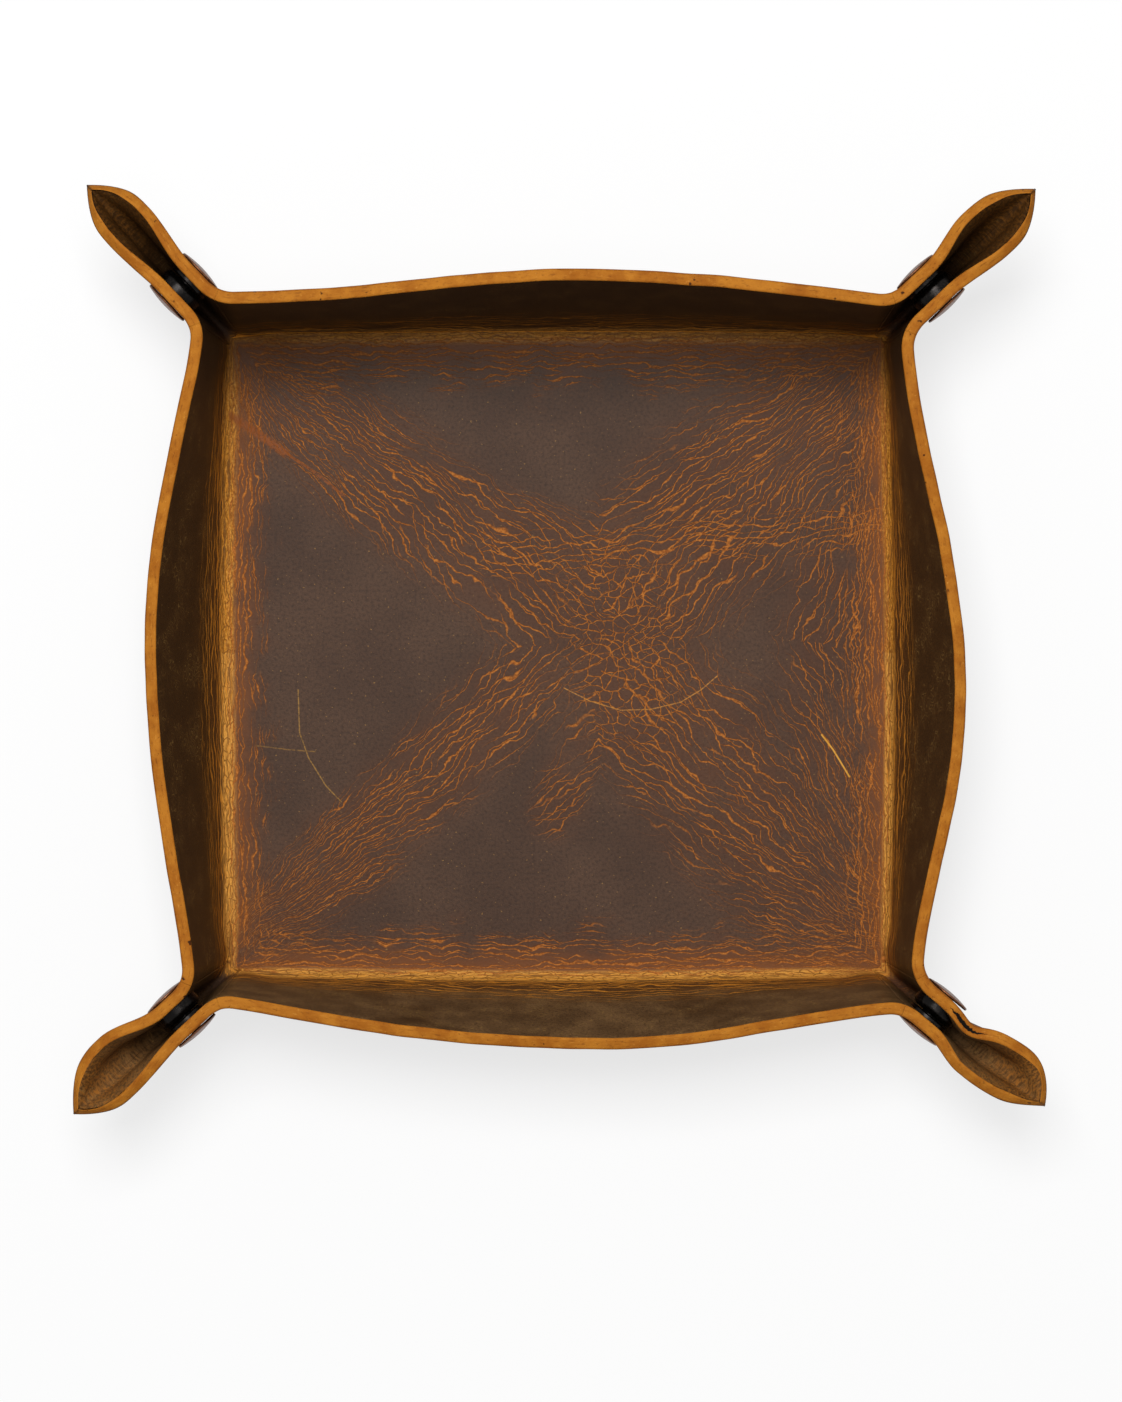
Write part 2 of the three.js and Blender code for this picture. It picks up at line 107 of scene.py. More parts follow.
def new_material(name, values):
    """A material with these values, its node tree and its shader."""
    material = bpy.data.materials.new(name)
    material.use_nodes = True
    shader = material.node_tree.nodes["Principled BSDF"]
    for socket, value in values.items():
        shader.inputs[socket].default_value = value
    return material, material.node_tree, shader


def new_object(name, shape):
    """A finished mesh as an object of the scene."""
    data = bpy.data.meshes.new(name)
    shape.to_mesh(data)
    shape.free()
    made = bpy.data.objects.new(name, data)
    bpy.context.collection.objects.link(made)
    return made


def seen_directly(tree):
    """1 for what the camera sees, straight, mirrored or through glass, and 0 for the light it gives."""
    path = add_node(tree, "LightPath")
    rays = ("Is Camera Ray", "Is Glossy Ray", "Is Transmission Ray")
    return greatest(tree, *[path.outputs[ray] for ray in rays])


AMBIENT = 0.22
world = bpy.data.worlds.new("studio")
world.use_nodes = True
background = world.node_tree.nodes["Background"]
background.inputs["Color"].default_value = (1, 1, 1, 1)
strength = calc(world.node_tree, "MULTIPLY_ADD", seen_directly(world.node_tree), 1 - AMBIENT, AMBIENT)
world.node_tree.links.new(strength, background.inputs["Strength"])
bpy.context.scene.world = world


def soft_lamp(name, place, size, power):
    """A square soft box that faces the tray."""
    lamp = bpy.data.lights.new(name, "AREA")
    lamp.size = size
    lamp.energy = power
    box = bpy.data.objects.new(name, lamp)
    box.location = place
    box.rotation_euler = (-Vector(place)).to_track_quat("-Z", "Y").to_euler()
    bpy.context.collection.objects.link(box)


soft_lamp("key_lamp", place=(-0.12, 0.42, 1.38), size=0.6, power=14.8)
soft_lamp("top_lamp", place=(0.0, 0.0, 1.7), size=0.9, power=4.2)

TABLE_REACH = 3.0
PAPER_TONE = 0.285
PAPER_LIFT = 0.712  # what the paper adds to the light that it returns, where the camera sees it
table_mesh = bmesh.new()
bmesh.ops.create_grid(table_mesh, x_segments=1, y_segments=1, size=TABLE_REACH)
table = new_object("table", table_mesh)
paper_values = {"Base Color": (PAPER_TONE, PAPER_TONE, PAPER_TONE, 1), "Roughness": 0.9,
                "Specular IOR Level": 0, "Emission Color": (1, 1, 1, 1)}
paper, paper_tree, paper_shader = new_material("white_paper", paper_values)
lift = times(paper_tree, seen_directly(paper_tree), PAPER_LIFT)
paper_tree.links.new(lift, paper_shader.inputs["Emission Strength"])
table.data.materials.append(paper)

# The hide: one blank of waxed pull-up leather, 3 mm thick. The grain side is dark brown inside the tray and
# cracks to orange where it was folded, the flesh side is a short brown nap, and the cut edge is raw tan.
# The UV map called hide holds each point's place on the flat blank, in millimetres from its middle.
HIDE = 3.0
HALF_LENGTH, HALF_WIDTH = 84.0, 81.5  # from the middle to the creases
WALL_HEIGHT = 44.0  # from a crease to the cut rim, along the hide
FLOOR_EDGE = 2.0  # the flat floor ends this far inside the creases
BEND_SHIFT = 1.0  # the bends show wear further out on the right and at the front, by twice this
CRACK_CENTRE = (11.1, 3.3)  # where the diagonal creases of the old folds cross
LEFT_POLE, RIGHT_POLE, HIGH_POLE = 108.0, 95.0, 90.0  # where they gather, out from that crossing
SCRATCHES = [  # the points of each, its half width and colour, and how broken it is
    ([(67.1, -20.9), (70.0, -24.7), (74.2, -31.6)], 0.3, (222, 160, 62), 0.0),
    ([(-65.3, -9.4), (-65.0, -20.4), (-62.8, -26.7), (-58.5, -33.8), (-54.6, -37.9)],
     0.22, (158, 118, 56), 0.8),
    ([(-76.0, -23.7), (-68.0, -24.7), (-61.0, -25.2)], 0.22, (136, 100, 50), 0.9),
    ([(-83.6, 60.3), (-76.4, 56.2), (-69.1, 51.2)], 1.5, (140, 76, 31), 0.75),
    ([(-69.1, 51.2), (-62.0, 46.6), (-54.0, 40.2)], 0.5, (140, 76, 31), 0.9),
    ([(1.9, -8.9), (8.5, -12.2), (16.2, -14.5), (23.8, -14.3), (31.4, -12.5), (36.5, -9.4), (40.6, -5.9)],
     0.2, (192, 130, 58), 0.7),
]


def mixed(tree, factor, first, second):
    """Two colours mixed, by a factor from 0 to 1."""
    return add_node(tree, "Mix", {0: factor, 6: first, 7: second}, data_type="RGBA").outputs[2]


def chosen(tree, condition, otherwise, value):
    """One of two numbers: the second where the condition is 1."""
    return add_node(tree, "Mix", {0: condition, 2: otherwise, 3: value}).outputs[0]


def ramp(tree, value, low, high, first=0.0, last=1.0):
    """A smooth step from first to last as value goes from low to high."""
    sockets = {"Value": value, "From Min": low, "From Max": high, "To Min": first, "To Max": last}
    return add_node(tree, "MapRange", sockets, interpolation_type="SMOOTHSTEP").outputs[0]


def speckle(tree, vector, scale, detail=2.0, roughness=0.5):
    """Soft noise around a half."""
    sockets = {"Vector": vector, "Scale": scale, "Detail": detail, "Roughness": roughness}
    return add_node(tree, "TexNoise", sockets).outputs["Fac"]


def joined(tree, *parts):
    """A vector of up to three numbers or sockets."""
    return add_node(tree, "CombineXYZ", dict(enumerate(parts))).outputs[0]


def xy_of(tree, vector):
    """The first two parts of a vector."""
    return add_node(tree, "SeparateXYZ", {0: vector}).outputs[:2]


def length_of(tree, x, y):
    """The length of a vector of two parts."""
    return calc(tree, "SQRT", calc(tree, "ADD", calc(tree, "POWER", x, 2.0), calc(tree, "POWER", y, 2.0)))


def add_bump(tree, shader, strength, depth, height):
    """Relief by a height, whose unit is this depth in millimetres."""
    bump = add_node(tree, "Bump", {"Strength": strength, "Distance": depth * MM, "Height": height})
    tree.links.new(bump.outputs[0], shader.inputs["Normal"])


def rgb(red, green, blue):
    """A colour as the eye reads it, 0 to 255, in the linear values that a shader takes."""
    shares = [value / 255 for value in (red, green, blue)]
    return (*[s / 12.92 if s <= 0.04045 else ((s + 0.055) / 1.055) ** 2.4 for s in shares], 1.0)


def crackle_group():
    """Cracks as the borders of long cells. The coordinates are in cells, already shortened along the
    cells by Stretch, and Distance is the true distance to the nearest crack, in cell widths."""
    tree = bpy.data.node_groups.new("crackle", "ShaderNodeTree")
    tree.interface.new_socket("Vector", in_out="INPUT", socket_type="NodeSocketVector")
    tree.interface.new_socket("Stretch", in_out="INPUT", socket_type="NodeSocketFloat")
    tree.interface.new_socket("Distance", in_out="OUTPUT", socket_type="NodeSocketFloat")
    given = tree.nodes.new("NodeGroupInput")
    cells = [
        add_node(tree, "TexVoronoi", {"Vector": given.outputs["Vector"], "Scale": 1.0},
                 voronoi_dimensions="2D", feature=feature)
        for feature in ("F1", "F2")
    ]
    ends = {0: cells[1].outputs["Position"], 1: cells[0].outputs["Position"]}
    between = add_node(tree, "VectorMath", ends, operation="SUBTRACT")
    along, across = xy_of(tree, between.outputs[0])
    true_gap = length_of(tree, calc(tree, "DIVIDE", along, given.outputs["Stretch"]), across)
    squares = [calc(tree, "POWER", cell.outputs["Distance"], 2.0) for cell in cells]
    excess = calc(tree, "SUBTRACT", squares[1], squares[0])
    distance = calc(tree, "DIVIDE", excess, times(tree, true_gap, 2.0))
    result = tree.nodes.new("NodeGroupOutput")
    tree.links.new(distance, result.inputs["Distance"])
    return tree


crackle = crackle_group()


def crack_lines(tree, along, across, spacing, stretch, half_width, mask):
    """Crack lines spaced across by spacing and stretched along, as 0 to 1, up to half_width to each side.
    Stretches of them fade out, and all fade with the mask."""
    cell_along = calc(tree, "DIVIDE", along, spacing * stretch)
    cell_across = calc(tree, "DIVIDE", across, spacing)
    place = joined(tree, cell_along, cell_across)
    lines = add_node(tree, "Group", node_tree=crackle)
    tree.links.new(place, lines.inputs["Vector"])
    lines.inputs["Stretch"].default_value = stretch
    strong = times(tree, mask, ramp(tree, speckle(tree, place, 0.8, 1.0), 0.28, 0.52, 0.3))
    away = times(tree, lines.outputs["Distance"], spacing)
    width = scaled(tree, strong, 0.75 * half_width, 0.25 * half_width)
    near = ramp(tree, calc(tree, "DIVIDE", away, width), 1.0, 0.25)
    return times(tree, near, ramp(tree, strong, 0.05, 0.75))


def strands(tree, along, across, spacing, half_width, mask, seed):
    """Long wavering cracks side by side, as 0 to 1, up to half_width to each side. Each has its own breaks,
    and all fade with the mask."""
    far_along = calc(tree, "DIVIDE", along, 6 * spacing)
    far_across = calc(tree, "DIVIDE", across, 3 * spacing)
    sway = speckle(tree, joined(tree, far_along, far_across, seed), scale=1.0, detail=1.5)
    count = scaled(tree, sway, 2.8, calc(tree, "DIVIDE", across, spacing))
    away = times(tree, calc(tree, "PINGPONG", count, 0.5), spacing)
    own_row = times(tree, calc(tree, "ROUND", count), 3.7)
    own = joined(tree, calc(tree, "DIVIDE", along, 9 * spacing), own_row, seed)
    strong = times(tree, mask, ramp(tree, speckle(tree, own, 1.0, 1.0), 0.34, 0.58))
    width = scaled(tree, strong, 0.7 * half_width, 0.3 * half_width)
    near = ramp(tree, calc(tree, "DIVIDE", away, width), 1.0, 0.3)
    return times(tree, near, ramp(tree, strong, 0.05, 0.6))


def crossed_strands(tree, along, across, tilt, mask, layers):
    """Two layers of strands that cross at a small angle, each with its spacing, half width and seed."""
    found = []
    for slant, (spacing, half_width, seed) in zip((tilt, -tilt), layers):
        slanted = scaled(tree, along, slant, across)
        found.append(strands(tree, along, slanted, spacing, half_width, mask, seed))
    return greatest(tree, *found)


def scratch_mask(tree, x, y, start, end, half_width):
    """1 along a straight scratch, from start to end."""
    line = Vector(end) - Vector(start)
    from_x = calc(tree, "SUBTRACT", x, start[0])
    from_y = calc(tree, "SUBTRACT", y, start[1])
    part_x = times(tree, from_x, line.x / line.length_squared)
    whole = scaled(tree, from_y, line.y / line.length_squared, part_x)
    share = add_node(tree, "Clamp", {0: whole}).outputs[0]
    off_x = scaled(tree, share, -line.x, from_x)
    off_y = scaled(tree, share, -line.y, from_y)
    return ramp(tree, length_of(tree, off_x, off_y), half_width, 0.3 * half_width)


def grain_leather():
    """The dark grain side, with its folds, cracks, pores and scratches laid out on the flat blank."""
    material, tree, shader = new_material("hide_grain", {"Specular IOR Level": 0.1})
    blank = add_node(tree, "UVMap", uv_map="hide").outputs[0]
    x, y = xy_of(tree, blank)

    # Lines waver a little over a few millimetres, and those of old folds wander widely over centimetres too
    places = [blank]
    for scale, detail, amount in ((0.28, 2.0, 2.4), (0.035, 1.0, 11.0)):
        wander = add_node(tree, "TexNoise", {"Vector": blank, "Scale": scale, "Detail": detail})
        centred = add_node(tree, "VectorMath", {0: wander.outputs["Color"], 1: (0.5, 0.5, 0.5)},
                           operation="SUBTRACT").outputs[0]
        sockets = {0: centred, 1: (amount, amount, 0.0), 2: places[-1]}
        places.append(add_node(tree, "VectorMath", sockets, operation="MULTIPLY_ADD").outputs[0])
    (waver_x, waver_y), (bent_x, bent_y) = [xy_of(tree, place) for place in places[1:]]

    # Distance past the floor's edge: negative on the floor, positive up a wall
    past_side = calc(tree, "ABSOLUTE", calc(tree, "SUBTRACT", x, BEND_SHIFT))
    past_side = calc(tree, "SUBTRACT", past_side, HALF_LENGTH - FLOOR_EDGE + BEND_SHIFT)
    past_front = calc(tree, "ABSOLUTE", calc(tree, "ADD", y, BEND_SHIFT))
    past_front = calc(tree, "SUBTRACT", past_front, HALF_WIDTH - FLOOR_EDGE + BEND_SHIFT)
    past = greatest(tree, past_side, past_front)
    out_of_ear = ramp(tree, calc(tree, "MINIMUM", past_side, past_front), 5.0, 0.0)

    patches = speckle(tree, blank, scale=0.035, detail=3.0, roughness=0.6)
    breaks = speckle(tree, blank, scale=0.11, detail=3.0, roughness=0.6)
    fine = speckle(tree, blank, scale=1.3, detail=5.0, roughness=0.7)
    pores = speckle(tree, blank, scale=3.6, detail=3.0, roughness=0.6)

    # Cracks that run with the creases, on both sides of each. They reach in unevenly, less at the left.
    floor_reach, left_loss, wall_reach = 26.0, 3.5, 16.0
    side_nearer = calc(tree, "GREATER_THAN", past_side, past_front)
    run = chosen(tree, side_nearer, waver_x, waver_y)
    step_across = chosen(tree, side_nearer, waver_y, waver_x)
    at_left = times(tree, side_nearer, calc(tree, "LESS_THAN", x, 0.0))
    spread = scaled(tree, at_left, -left_loss, past)
    spread = scaled(tree, breaks, floor_reach, spread)
    beside = times(tree, ramp(tree, spread, -4.0, 13.0), ramp(tree, past, 3.0, 0.0), out_of_ear)
    streak_place = joined(tree, times(tree, run, 0.06), times(tree, step_across, 0.9))
    streaks = speckle(tree, streak_place, scale=1.0, detail=4.0, roughness=0.7)
    fading = ramp(tree, scaled(tree, streaks, -wall_reach, past), wall_reach, -3.0)
    wall_side = times(tree, ramp(tree, past, -1.0, 1.0), fading, out_of_ear)
    crease_tilt = 0.05
    crease_cracks = crossed_strands(tree, run, step_across, crease_tilt, beside,
                                    [(1.6, 0.27, 13.0), (1.3, 0.22, 17.0)])
    wall_cracks = crossed_strands(tree, run, step_across, crease_tilt, wall_side,
                                  [(1.9, 0.4, 21.0), (1.6, 0.3, 25.0)])

    # Cracks of the old diagonal folds, which gather towards the corners
    from_x = calc(tree, "SUBTRACT", bent_x, CRACK_CENTRE[0])
    from_y = calc(tree, "SUBTRACT", bent_y, CRACK_CENTRE[1])
    on_right = calc(tree, "GREATER_THAN", from_x, 0.0)
    at_back = calc(tree, "GREATER_THAN", from_y, 0.0)
    pole = chosen(tree, on_right, LEFT_POLE, RIGHT_POLE)
    pole_x = calc(tree, "SUBTRACT", pole, calc(tree, "ABSOLUTE", from_x))
    pole_y = calc(tree, "SUBTRACT", HIGH_POLE, calc(tree, "ABSOLUTE", from_y))
    reach = length_of(tree, pole_x, pole_y)
    angle = times(tree, calc(tree, "ARCTAN2", pole_y, pole_x), times(tree, pole, 0.78))
    quarter = scaled(tree, on_right, 310.0, times(tree, at_back, 530.0))
    angle = calc(tree, "ADD", angle, quarter)
    worn = add_node(tree, "Attribute", attribute_name="old_folds")
    fold_wear = add_node(tree, "SeparateColor", {0: worn.outputs["Color"]})
    fan = times(tree, fold_wear.outputs[0], ramp(tree, breaks, 0.25, 0.55, 0.35))
    web = times(tree, fold_wear.outputs[1], ramp(tree, breaks, 0.25, 0.55, 0.45))
    level = worn.outputs["Alpha"]
    beyond_web = times(tree, fan, scaled(tree, web, -0.35, 1.0))
    fan_tilt, level_tilt = 0.12, -0.1
    fan_cracks = crossed_strands(tree, reach, angle, fan_tilt, beyond_web,
                                 [(1.9, 0.24, 1.0), (1.6, 0.2, 5.0)])
    web_cracks = crack_lines(tree, bent_x, bent_y, spacing=2.6, stretch=1.2, half_width=0.2, mask=web)
    slope = scaled(tree, bent_x, level_tilt, bent_y)
    level_cracks = strands(tree, bent_x, slope, spacing=1.6, half_width=0.22, mask=level, seed=9.0)
    bright = greatest(tree, crease_cracks, level_cracks, fan_cracks, web_cracks)

    # The floor: a dark brown with darker pores, warmer where it is worn
    dark_brown, brown, pore_brown = rgb(75, 54, 41), rgb(86, 63, 48), rgb(46, 32, 25)
    worn_brown, rubbed_brown = rgb(90, 53, 32), rgb(122, 72, 35)
    clean = mixed(tree, ramp(tree, patches, 0.35, 0.65), dark_brown, brown)
    clean = mixed(tree, ramp(tree, fine, 0.60, 0.30, last=0.7), clean, pore_brown)
    wear = greatest(tree, fan, web, beside)
    ground = mixed(tree, times(tree, wear, 0.5), clean, worn_brown)
    rubbed = times(tree, ramp(tree, past, -10.0, 0.0, last=0.85), beside)
    ground = mixed(tree, rubbed, ground, rubbed_brown)

    # The walls: dusty and painted lighter at the front, as if lit from behind, clouded, and rubbed in pale
    # scribbles
    wall_brown, wall_dust_and_light, wall_cloud = rgb(76, 51, 26), rgb(122, 92, 60), rgb(44, 28, 14)
    wall_pore, scribble_tan = rgb(40, 26, 13), rgb(148, 116, 66)
    bend_brown, bend_crack = rgb(90, 54, 20), rgb(204, 132, 44)
    at_front = calc(tree, "LESS_THAN", y, 0.0)
    # Real dust, plus painted light: the front wall is lightened as if the lamp behind the tray shines on it
    front_dust_and_light = times(tree, ramp(tree, past_front, 6.0, 12.0), at_front, ramp(tree, patches, 0.2, 0.6))
    wall_tone = mixed(tree, front_dust_and_light, wall_brown, wall_dust_and_light)
    wall_tone = mixed(tree, ramp(tree, breaks, 0.66, 0.34, last=0.45), wall_tone, wall_cloud)
    wall_tone = mixed(tree, ramp(tree, fine, 0.56, 0.36, last=0.6), wall_tone, wall_pore)
    wall_wear = times(tree, ramp(tree, past, 8.0, 16.0), ramp(tree, breaks, 0.48, 0.62))
    loops = times(tree, speckle(tree, blank, scale=0.16, detail=2.0), 15.0)
    loops = calc(tree, "PINGPONG", loops, 0.5)
    scribbles = times(tree, ramp(tree, loops, 0.09, 0.03), wall_wear, 0.7)
    wall_tone = mixed(tree, scribbles, wall_tone, scribble_tan)
    ground = mixed(tree, ramp(tree, past, 4.0, 15.0), ground, wall_tone)
    ground = mixed(tree, times(tree, wall_side, 0.65), ground, bend_brown)
    ground = mixed(tree, wall_cracks, ground, bend_crack)

    # Gold along the bends, painted brightest at the front as if lit from behind, in a net of fine dark cracks
    deep_gold, pale_gold, lit_front_gold = rgb(184, 116, 34), rgb(222, 158, 64), rgb(240, 174, 82)
    net_brown = rgb(104, 60, 18)
    ridge = times(tree, ramp(tree, past, -1.4, 0.4), ramp(tree, past, 6.0, 2.4))
    ridge = times(tree, ridge, out_of_ear, ramp(tree, streaks, 0.34, 0.56, 0.1, 0.95))
    gold = mixed(tree, ramp(tree, fine, 0.40, 0.66), deep_gold, pale_gold)
    # Painted light: the front crease's gold is lightened, as if the lamp behind the tray shines on it
    gold = mixed(tree, times(tree, at_front, 0.5), gold, lit_front_gold)
    ground = mixed(tree, ridge, ground, gold)
    net = crack_lines(tree, run, step_across, spacing=1.2, stretch=2.6, half_width=0.3, mask=ridge)
    ground = mixed(tree, times(tree, net, 0.75), ground, net_brown)

    # On top of these: the cracks of the floor, dust, scratches, golden ear tips, and painted shade over the
    # back wall and the floor's back edge
    crack_brown, crack_orange, dust_tan = rgb(134, 74, 31), rgb(194, 120, 52), rgb(150, 112, 62)
    tip_tan, painted_shade_brown = rgb(164, 104, 40), rgb(26, 15, 7)
    crack_colour = mixed(tree, ramp(tree, fine, 0.35, 0.65), crack_brown, crack_orange)
    coloured = mixed(tree, bright, ground, crack_colour)
    specks = speckle(tree, blank, scale=1.4, detail=1.0)
    dust = times(tree, ramp(tree, specks, 0.70, 0.77), 0.7)
    coloured = mixed(tree, dust, coloured, dust_tan)
    for points, half_width, colour, broken in SCRATCHES:
        mask = 0.0
        for start, end in zip(points, points[1:]):
            mask = greatest(tree, mask, scratch_mask(tree, x, y, start, end, half_width))
        mask = times(tree, mask, ramp(tree, fine, 0.35, 0.6, 1 - broken))
        coloured = mixed(tree, mask, coloured, rgb(*colour))
    tip_x = calc(tree, "SUBTRACT", calc(tree, "ABSOLUTE", x), HALF_LENGTH + WALL_HEIGHT)
    tip_y = calc(tree, "SUBTRACT", calc(tree, "ABSOLUTE", y), HALF_WIDTH + WALL_HEIGHT)
    from_tip = length_of(tree, tip_x, tip_y)
    tip_gold = times(tree, ramp(tree, from_tip, 34.0, 8.0), ramp(tree, fine, 0.42, 0.66, 0.15, 0.9))
    coloured = mixed(tree, tip_gold, coloured, tip_tan)
    # Painted shade: the back wall and the floor along it are darkened, as if in the back wall's shadow
    behind = calc(tree, "SUBTRACT", 1.0, at_front)
    back_painted_shade = times(tree, ramp(tree, past_front, -24.0, -3.0, last=0.62), behind)
    coloured = mixed(tree, back_painted_shade, coloured, painted_shade_brown)
    tree.links.new(coloured, shader.inputs["Base Color"])
    gloss = ramp(tree, calc(tree, "ADD", bright, times(tree, fine, 0.5)), 0.0, 1.3, 0.42, 0.72)
    tree.links.new(gloss, shader.inputs["Roughness"])
    skin = scaled(tree, pores, 0.3, times(tree, fine, 0.4))
    height = scaled(tree, greatest(tree, bright, wall_cracks), -0.4, skin)
    add_bump(tree, shader, strength=0.6, depth=0.35, height=height)
    return material


def flesh_leather():
    """The short brown nap on the outside."""
    values = {"Roughness": 0.9, "Specular IOR Level": 0.2, "Sheen Weight": 0.1}
    material, tree, shader = new_material("hide_flesh", values)
    dark_nap, pale_nap, fibre_tan = rgb(84, 52, 30), rgb(112, 70, 38), rgb(140, 90, 48)
    place = add_node(tree, "TexCoord").outputs["Object"]
    fibres = speckle(tree, place, scale=900.0, detail=4.0, roughness=0.7)
    clouds = speckle(tree, place, scale=40.0, detail=3.0, roughness=0.6)
    tone = mixed(tree, ramp(tree, clouds, 0.3, 0.7), dark_nap, pale_nap)
    tone = mixed(tree, ramp(tree, fibres, 0.4, 0.75), tone, fibre_tan)
    tree.links.new(tone, shader.inputs["Base Color"])
    add_bump(tree, shader, strength=0.5, depth=0.25, height=fibres)
    return material


def cut_leather():
    """The raw tan edge: packed fibres with dark specks, burnished brown towards the outside. Across the
    edge the hide map runs from 0 at the outside to 1 at the inside."""
    material, tree, shader = new_material("hide_cut_edge", {"Roughness": 0.75, "Specular IOR Level": 0.1})
    along, across = xy_of(tree, add_node(tree, "UVMap", uv_map="hide").outputs[0])
    worn = add_node(tree, "Attribute", attribute_name="old_folds")
    split = add_node(tree, "SeparateColor", {0: worn.outputs["Color"]}).outputs[2]
    place = add_node(tree, "TexCoord").outputs["Object"]
    fibres = speckle(tree, place, scale=1300.0, detail=4.0, roughness=0.7)
    clouds = speckle(tree, place, scale=160.0, detail=3.0, roughness=0.6)
    pits = speckle(tree, place, scale=520.0, detail=1.0)
    layers = joined(tree, times(tree, along, 0.35), times(tree, across, 5.0))
    streaks = speckle(tree, layers, scale=1.0, detail=4.0, roughness=0.7)
    tan, pale_tan, burnished, split_painted_shade = rgb(164, 95, 24), rgb(192, 122, 38), rgb(124, 68, 24), rgb(14, 8, 5)
    flecks = [  # the pattern of each, where it starts to show and shows in full, how strongly, its colour
        (fibres, 0.60, 0.80, 1.0, rgb(222, 156, 70)),
        (fibres, 0.40, 0.24, 1.0, rgb(96, 50, 16)),
        (streaks, 0.46, 0.30, 0.7, rgb(118, 64, 20)),
        (streaks, 0.58, 0.74, 0.6, rgb(212, 146, 64)),
        (pits, 0.26, 0.20, 1.0, rgb(66, 34, 14)),
    ]
    tone = mixed(tree, ramp(tree, clouds, 0.3, 0.7), tan, pale_tan)
    for pattern, start, full, share, colour in flecks:
        tone = mixed(tree, ramp(tree, pattern, start, full, last=share), tone, colour)
    outer = ramp(tree, scaled(tree, clouds, 0.3, across), 0.36, 0.18)
    tone = mixed(tree, times(tree, outer, 0.5), tone, burnished)
    # Painted shade: inside the split of the cut rim the edge is darkened to near black
    jagged = speckle(tree, joined(tree, along), scale=0.5, detail=3.0, roughness=0.6)
    middle = scaled(tree, jagged, 0.6, 0.22)
    off = calc(tree, "ABSOLUTE", calc(tree, "SUBTRACT", across, middle))
    torn = ramp(tree, calc(tree, "SUBTRACT", times(tree, split, 0.17), off), -0.03, 0.03)
    tone = mixed(tree, times(tree, torn, ramp(tree, split, 0.02, 0.1)), tone, split_painted_shade)
    tree.links.new(tone, shader.inputs["Base Color"])
    add_bump(tree, shader, strength=0.7, depth=0.25, height=fibres)
    return material


hide_finishes = [grain_leather(), flesh_leather(), cut_leather()]
GRAIN, FLESH, CUT = range(3)

# Bands worn by the old folds: where each starts and ends on the floor, its half width, and how strongly
# it shows as long cracks, as a web, and as cracks that run from side to side
OLD_FOLDS = [
    ((-76, 70), (0, 12), 18, 0.85, 0.0, 0.0),
    ((-40, 46), (10, 26), 9, 0.8, 0.0, 0.0),
    ((82, 76), (18, 14), 26, 1.0, 0.1, 0.0),
    ((78, 32), (-14, 25), 7, 0.6, 0.0, 1.0),
    ((-78, -74), (-8, -8), 14, 0.9, 0.0, 0.0),
    ((84, -80), (22, -10), 25, 0.9, 0.2, 0.0),
    ((15, 12), (19, -9), 19, 0.6, 1.0, 0.0),
    ((11, -10), (0, -40), 9, 0.6, 0.2, 0.0),
    ((70, 30), (70, -60), 18, 0.7, 0.1, 0.0),
]
RIM_ROUND = 0.28  # share of half the thickness that is rounded at each side of the cut rim
RIM_CUTS = 5  # loops across the cut rim
SPLIT_DEPTH = 1.2  # where the cut rim has come apart
RIM_LINE = 0.499  # on a grid one unit wide, whose rim is at a half


def mix(first, second, share):
    return first + (second - first) * share


def smooth(value, low, high):
    share = min(max((value - low) / (high - low), 0.0), 1.0)
    return share * share * (3 - 2 * share)


def old_fold_wear(x, y):
    """How worn a place on the blank is by the old folds: as long cracks, as a web, and level."""
    wear = [0.0, 0.0, 0.0]
    for start, end, half_width, *shows in OLD_FOLDS:
        line = Vector(end) - Vector(start)
        from_start = Vector((x, y)) - Vector(start)
        share = min(max(from_start.dot(line) / line.length_squared, 0.0), 1.0)
        near = 1 - smooth((from_start - line * share).length, 0.25 * half_width, 1.25 * half_width)
        wear = [max(known, near * show) for known, show in zip(wear, shows)]
    return wear


def no_split(a):
    return 0.0


